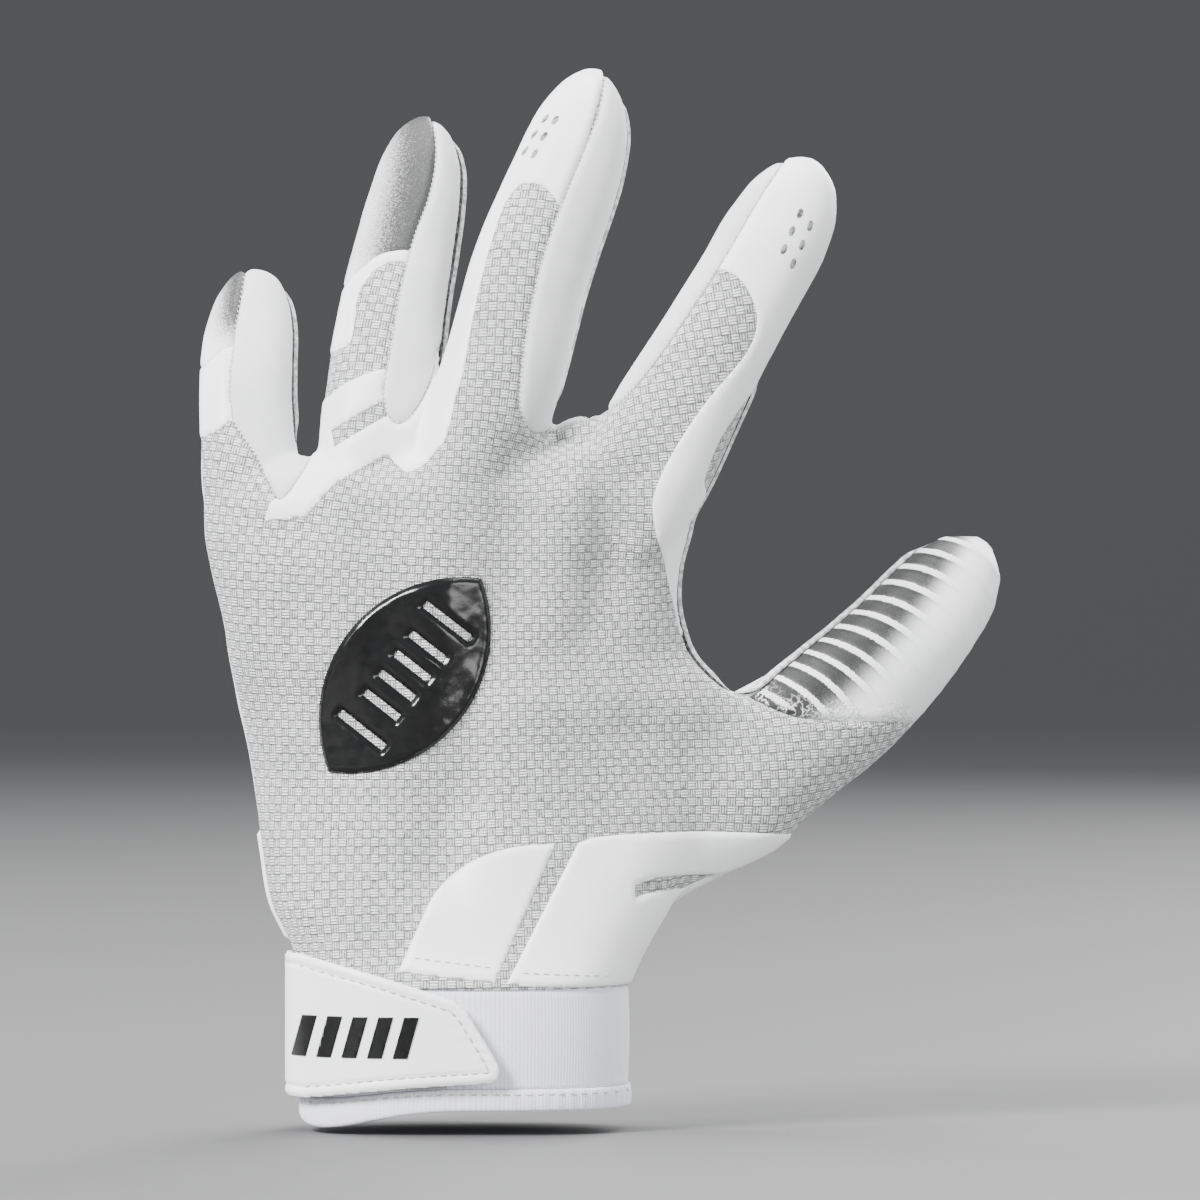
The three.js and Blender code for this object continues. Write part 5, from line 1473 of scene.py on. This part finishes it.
# Dark thread, also used as painted shade in the crease beside the rim.
dark_seam_and_crease_shade = Finish("dark seam", roughness=0.7, specular=0.2)
broken = dark_seam_and_crease_shade.grain(0.5 * MM, 2.0)
dark_seam_and_crease_shade.feed(Base_Color=dark_seam_and_crease_shade.blend(broken.clear(0.35, 0.7), grey(0.02), grey(0.13)))
dark_seam_and_crease_shade.relief(broken, 0.1 * MM)
grey_seam_and_crease_shade = Finish("grey seam", roughness=0.7, specular=0.2)
broken = grey_seam_and_crease_shade.grain(0.5 * MM, 2.0)
grey_seam_and_crease_shade.feed(Base_Color=grey_seam_and_crease_shade.blend(broken.clear(0.35, 0.7), grey(0.12), grey(0.4)))
grey_seam_and_crease_shade.relief(broken, 0.1 * MM)


def edge_line(points, shift):
    """A line on the form's side below points of (x, z), shift millimetres to the palm's side."""
    points = np.asarray(points, float)
    run = np.concatenate([[0], np.cumsum(np.linalg.norm(np.diff(points, axis=0), axis=1))])
    path = through(run, points, np.linspace(0, run[-1], int(run[-1] / 0.7)))
    depth = middle_depth(path[:, 0], path[:, 1]) + shift
    spots, outs = [], []
    for (x, z), y in zip(path, depth):
        hit, out, _, _ = hand_bvh.find_nearest(Vector((x, y, z)) * MM)
        spots.append(hit)
        outs.append(out)
    spots, outs = np.array(spots), np.array(outs)
    smooth = np.ones(5) / 5
    for line in (spots, outs):
        for k in range(3):
            padded = np.pad(line[:, k], 2, mode="edge")
            line[:, k] = np.convolve(padded, smooth, mode="valid")
    return spots, outs / np.linalg.norm(outs, axis=1)[:, None]


def tube(name, spots, outs, stand, tall, wide, ends=9):
    """A tube of oval section through spots, standing out by stand and thinner at its ends."""
    ways = np.gradient(spots, axis=0)
    ways /= np.linalg.norm(ways, axis=1)[:, None]
    across = np.cross(ways, outs)
    angle = np.linspace(0, 2 * np.pi, 13)
    order = np.arange(len(spots))
    taper = step(np.minimum(order, order[::-1]), -0.5, ends)[:, None, None]
    slim = 0.1 + 0.9 * taper
    rings = (
        spots[:, None]
        + outs[:, None] * (stand * taper + tall * np.cos(angle)[None, :, None] * slim) * MM
        + across[:, None] * wide * np.sin(angle)[None, :, None] * slim * MM
    )
    return closed(drawn(name, rings))


def piping(name, points, shift, stand, tall, wide, finish):
    """A tube laid along the form's side."""
    piece = tube(name, *edge_line(points, shift), stand, tall, wide)
    bpy.ops.object.shade_smooth()
    worn_in(piece, finish)
    return piece


EDGES = {
    "pinky": (pinky((0.965, 0.42), (0.92, 0.6), (0.84, 0.78), (0.7, 0.92), (0.5, 0.98), (0.34, 1.0)), dark_seam_and_crease_shade, 0),
    "ring": (ring((0.97, 0.42), (0.93, 0.6), (0.87, 0.75), (0.8, 0.85), (0.68, 0.92), (0.5, 1.0), (0.37, 1.03)), dark_seam_and_crease_shade, 0),
    "middle": (middle((0.975, 0.42), (0.94, 0.6), (0.88, 0.78), (0.8, 0.9), (0.66, 0.97), (0.47, 1.02), (0.32, 1.05)), grey_seam_and_crease_shade, 0),
    "web": (
        [(66, 161.3), (61.6, 155.1), (57.9, 146.3), (53.5, 135.7), (50.4, 126.9), (47.7, 118.8), (46.6, 111.1), (47.1, 104.9), (49.5, 100.5), (54.3, 96.1), (60.1, 92.8)],
        dark_seam_and_crease_shade, -1.4,
    ),
    "thumb": (
        [(60.1, 92.8), (64.9, 94.4), (71.5, 98.3), (78.1, 103), (83.6, 108.5), (89.1, 114), (94.2, 118.6), (97.9, 122.3), (101.5, 124)],
        dark_seam_and_crease_shade, -1.6,
    ),
}
for name, (line, seam_finish, shift) in EDGES.items():
    broad = 1.7 if name == "thumb" else 1
    parts = [
        piping(name + "_rim", line, shift + 2.0, 0.45, 0.75, 0.6 * broad, rim_finish),
        # The seam tube lies in the crease beside the rim: dark thread and painted shade of that crease.
        piping(name + "_seam", line, shift + 1.25, 0.0, 0.42, 0.34, seam_finish),
        piping(name + "_under", line, shift + 2.0 + 0.75 * broad, 0.35, 0.7, 0.4, seam_finish),
    ]
    for piece in parts:
        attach(piece, "root")

# The palm's grip has raised ribs, moulded with it: across each finger and the thumb, and in arcs
# round the thumb's root.
pale_grip = Finish("pale grip", roughness=0.4, specular=0.4)
rubbed_tone = pale_grip.grain(0.5 * MM, 2.0)
pale_grip.feed(Base_Color=pale_grip.blend(rubbed_tone, grey(0.76, -0.01), grey(0.86)))
pale_grip.relief(rubbed_tone, 0.04 * MM)
palm_surface = surface_of(palm_panel)


def moulded(starts, ways):
    """One rib where rays from starts along ways meet the palm."""
    met = [palm_surface.ray_cast(Vector(a) * MM, Vector(b), 0.3)[:2] for a, b in zip(starts, ways)]
    met = [(hit, out) for (hit, out), way in zip(met, ways) if hit and out.dot(Vector(way)) < -0.25]
    if len(met) < 6:
        return []
    spots, outs = np.array([m[0] for m in met]), np.array([m[1] for m in met])
    return [tube("palm_rib", spots, outs, 0, 0.32, 0.55, ends=2)]


ribs = []
for name, start in RIB_START.items():
    end, wide = DIGITS[name][3], DIGITS[name][4]
    for middle_at in np.arange(start + 2.5, end - 6, RIB_PITCH):
        across = np.linspace(-0.74, 0.74, 25)
        middles, sides, outs = digit_line(name, (middle_at - 3 * across**2) / end)
        starts = middles + sides * (across * wide)[:, None] - outs * 22
        ribs += moulded(starts, outs)
for radius in np.arange(47.5, 110, RIB_PITCH):
    angle = np.arange(0, math.pi, 1 / radius)
    x = ROOT_CENTRE[0] + radius * np.cos(angle)
    z = ROOT_CENTRE[1] + radius * np.sin(angle)
    kept = (x > -39) & (x < 33) & (z > 55) & (z < 121)
    starts = np.stack([x, np.full(len(x), 120.0), z], axis=1)[kept]
    ribs += moulded(starts, np.tile([0.0, -1.0, 0.0], (len(starts), 1)))
only(*ribs)
bpy.ops.object.join()
palm_ribs = bpy.context.active_object
palm_ribs.name = palm_ribs.data.name = "palm_ribs"
bpy.ops.object.shade_smooth()
worn_in(palm_ribs, pale_grip)
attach(palm_ribs, "root")

# Plain short dashes are printed in grey on the middle and index fingertips.
print_grey = Finish("grey print", roughness=0.5, specular=0.3)
patchy = print_grey.grain(0.5 * MM, 2.0)
print_grey.feed(Base_Color=print_grey.blend(patchy.clear(0.35, 0.6), grey(0.06), grey(0.3)))
print_grey.relief(patchy, 0.05 * MM)
DASHES = [
    ((17.6, 217.1), (19.8, 216.7), (15.2, 213.6), (17.3, 213.1), (13.2, 210), (15.3, 209.3)),
    ((73.7, 196.1), (71.9, 192.3), (70.1, 188.2), (75.9, 193.4), (74.1, 189.2), (72.1, 185.1)),
]
for name, spots, lean in (("middle", DASHES[0], 20), ("index", DASHES[1], 27)):
    way = np.array([math.sin(math.radians(lean)), math.cos(math.radians(lean))]) * 0.8
    rows = [np.array([spot - way, spot + way]) for spot in np.array(spots)]
    tip = surface_of(bpy.data.objects[("knuckle" if name == "middle" else "index") + "_film_sheet"])
    marks = sewn(name + "_dashes", rows, tip, 1.6, (1.35, 0.7, 0.12), finish=print_grey)

for piece in (hand, back_side, knit_form, back_block, palm_block, wrap_block):
    bpy.data.objects.remove(piece)
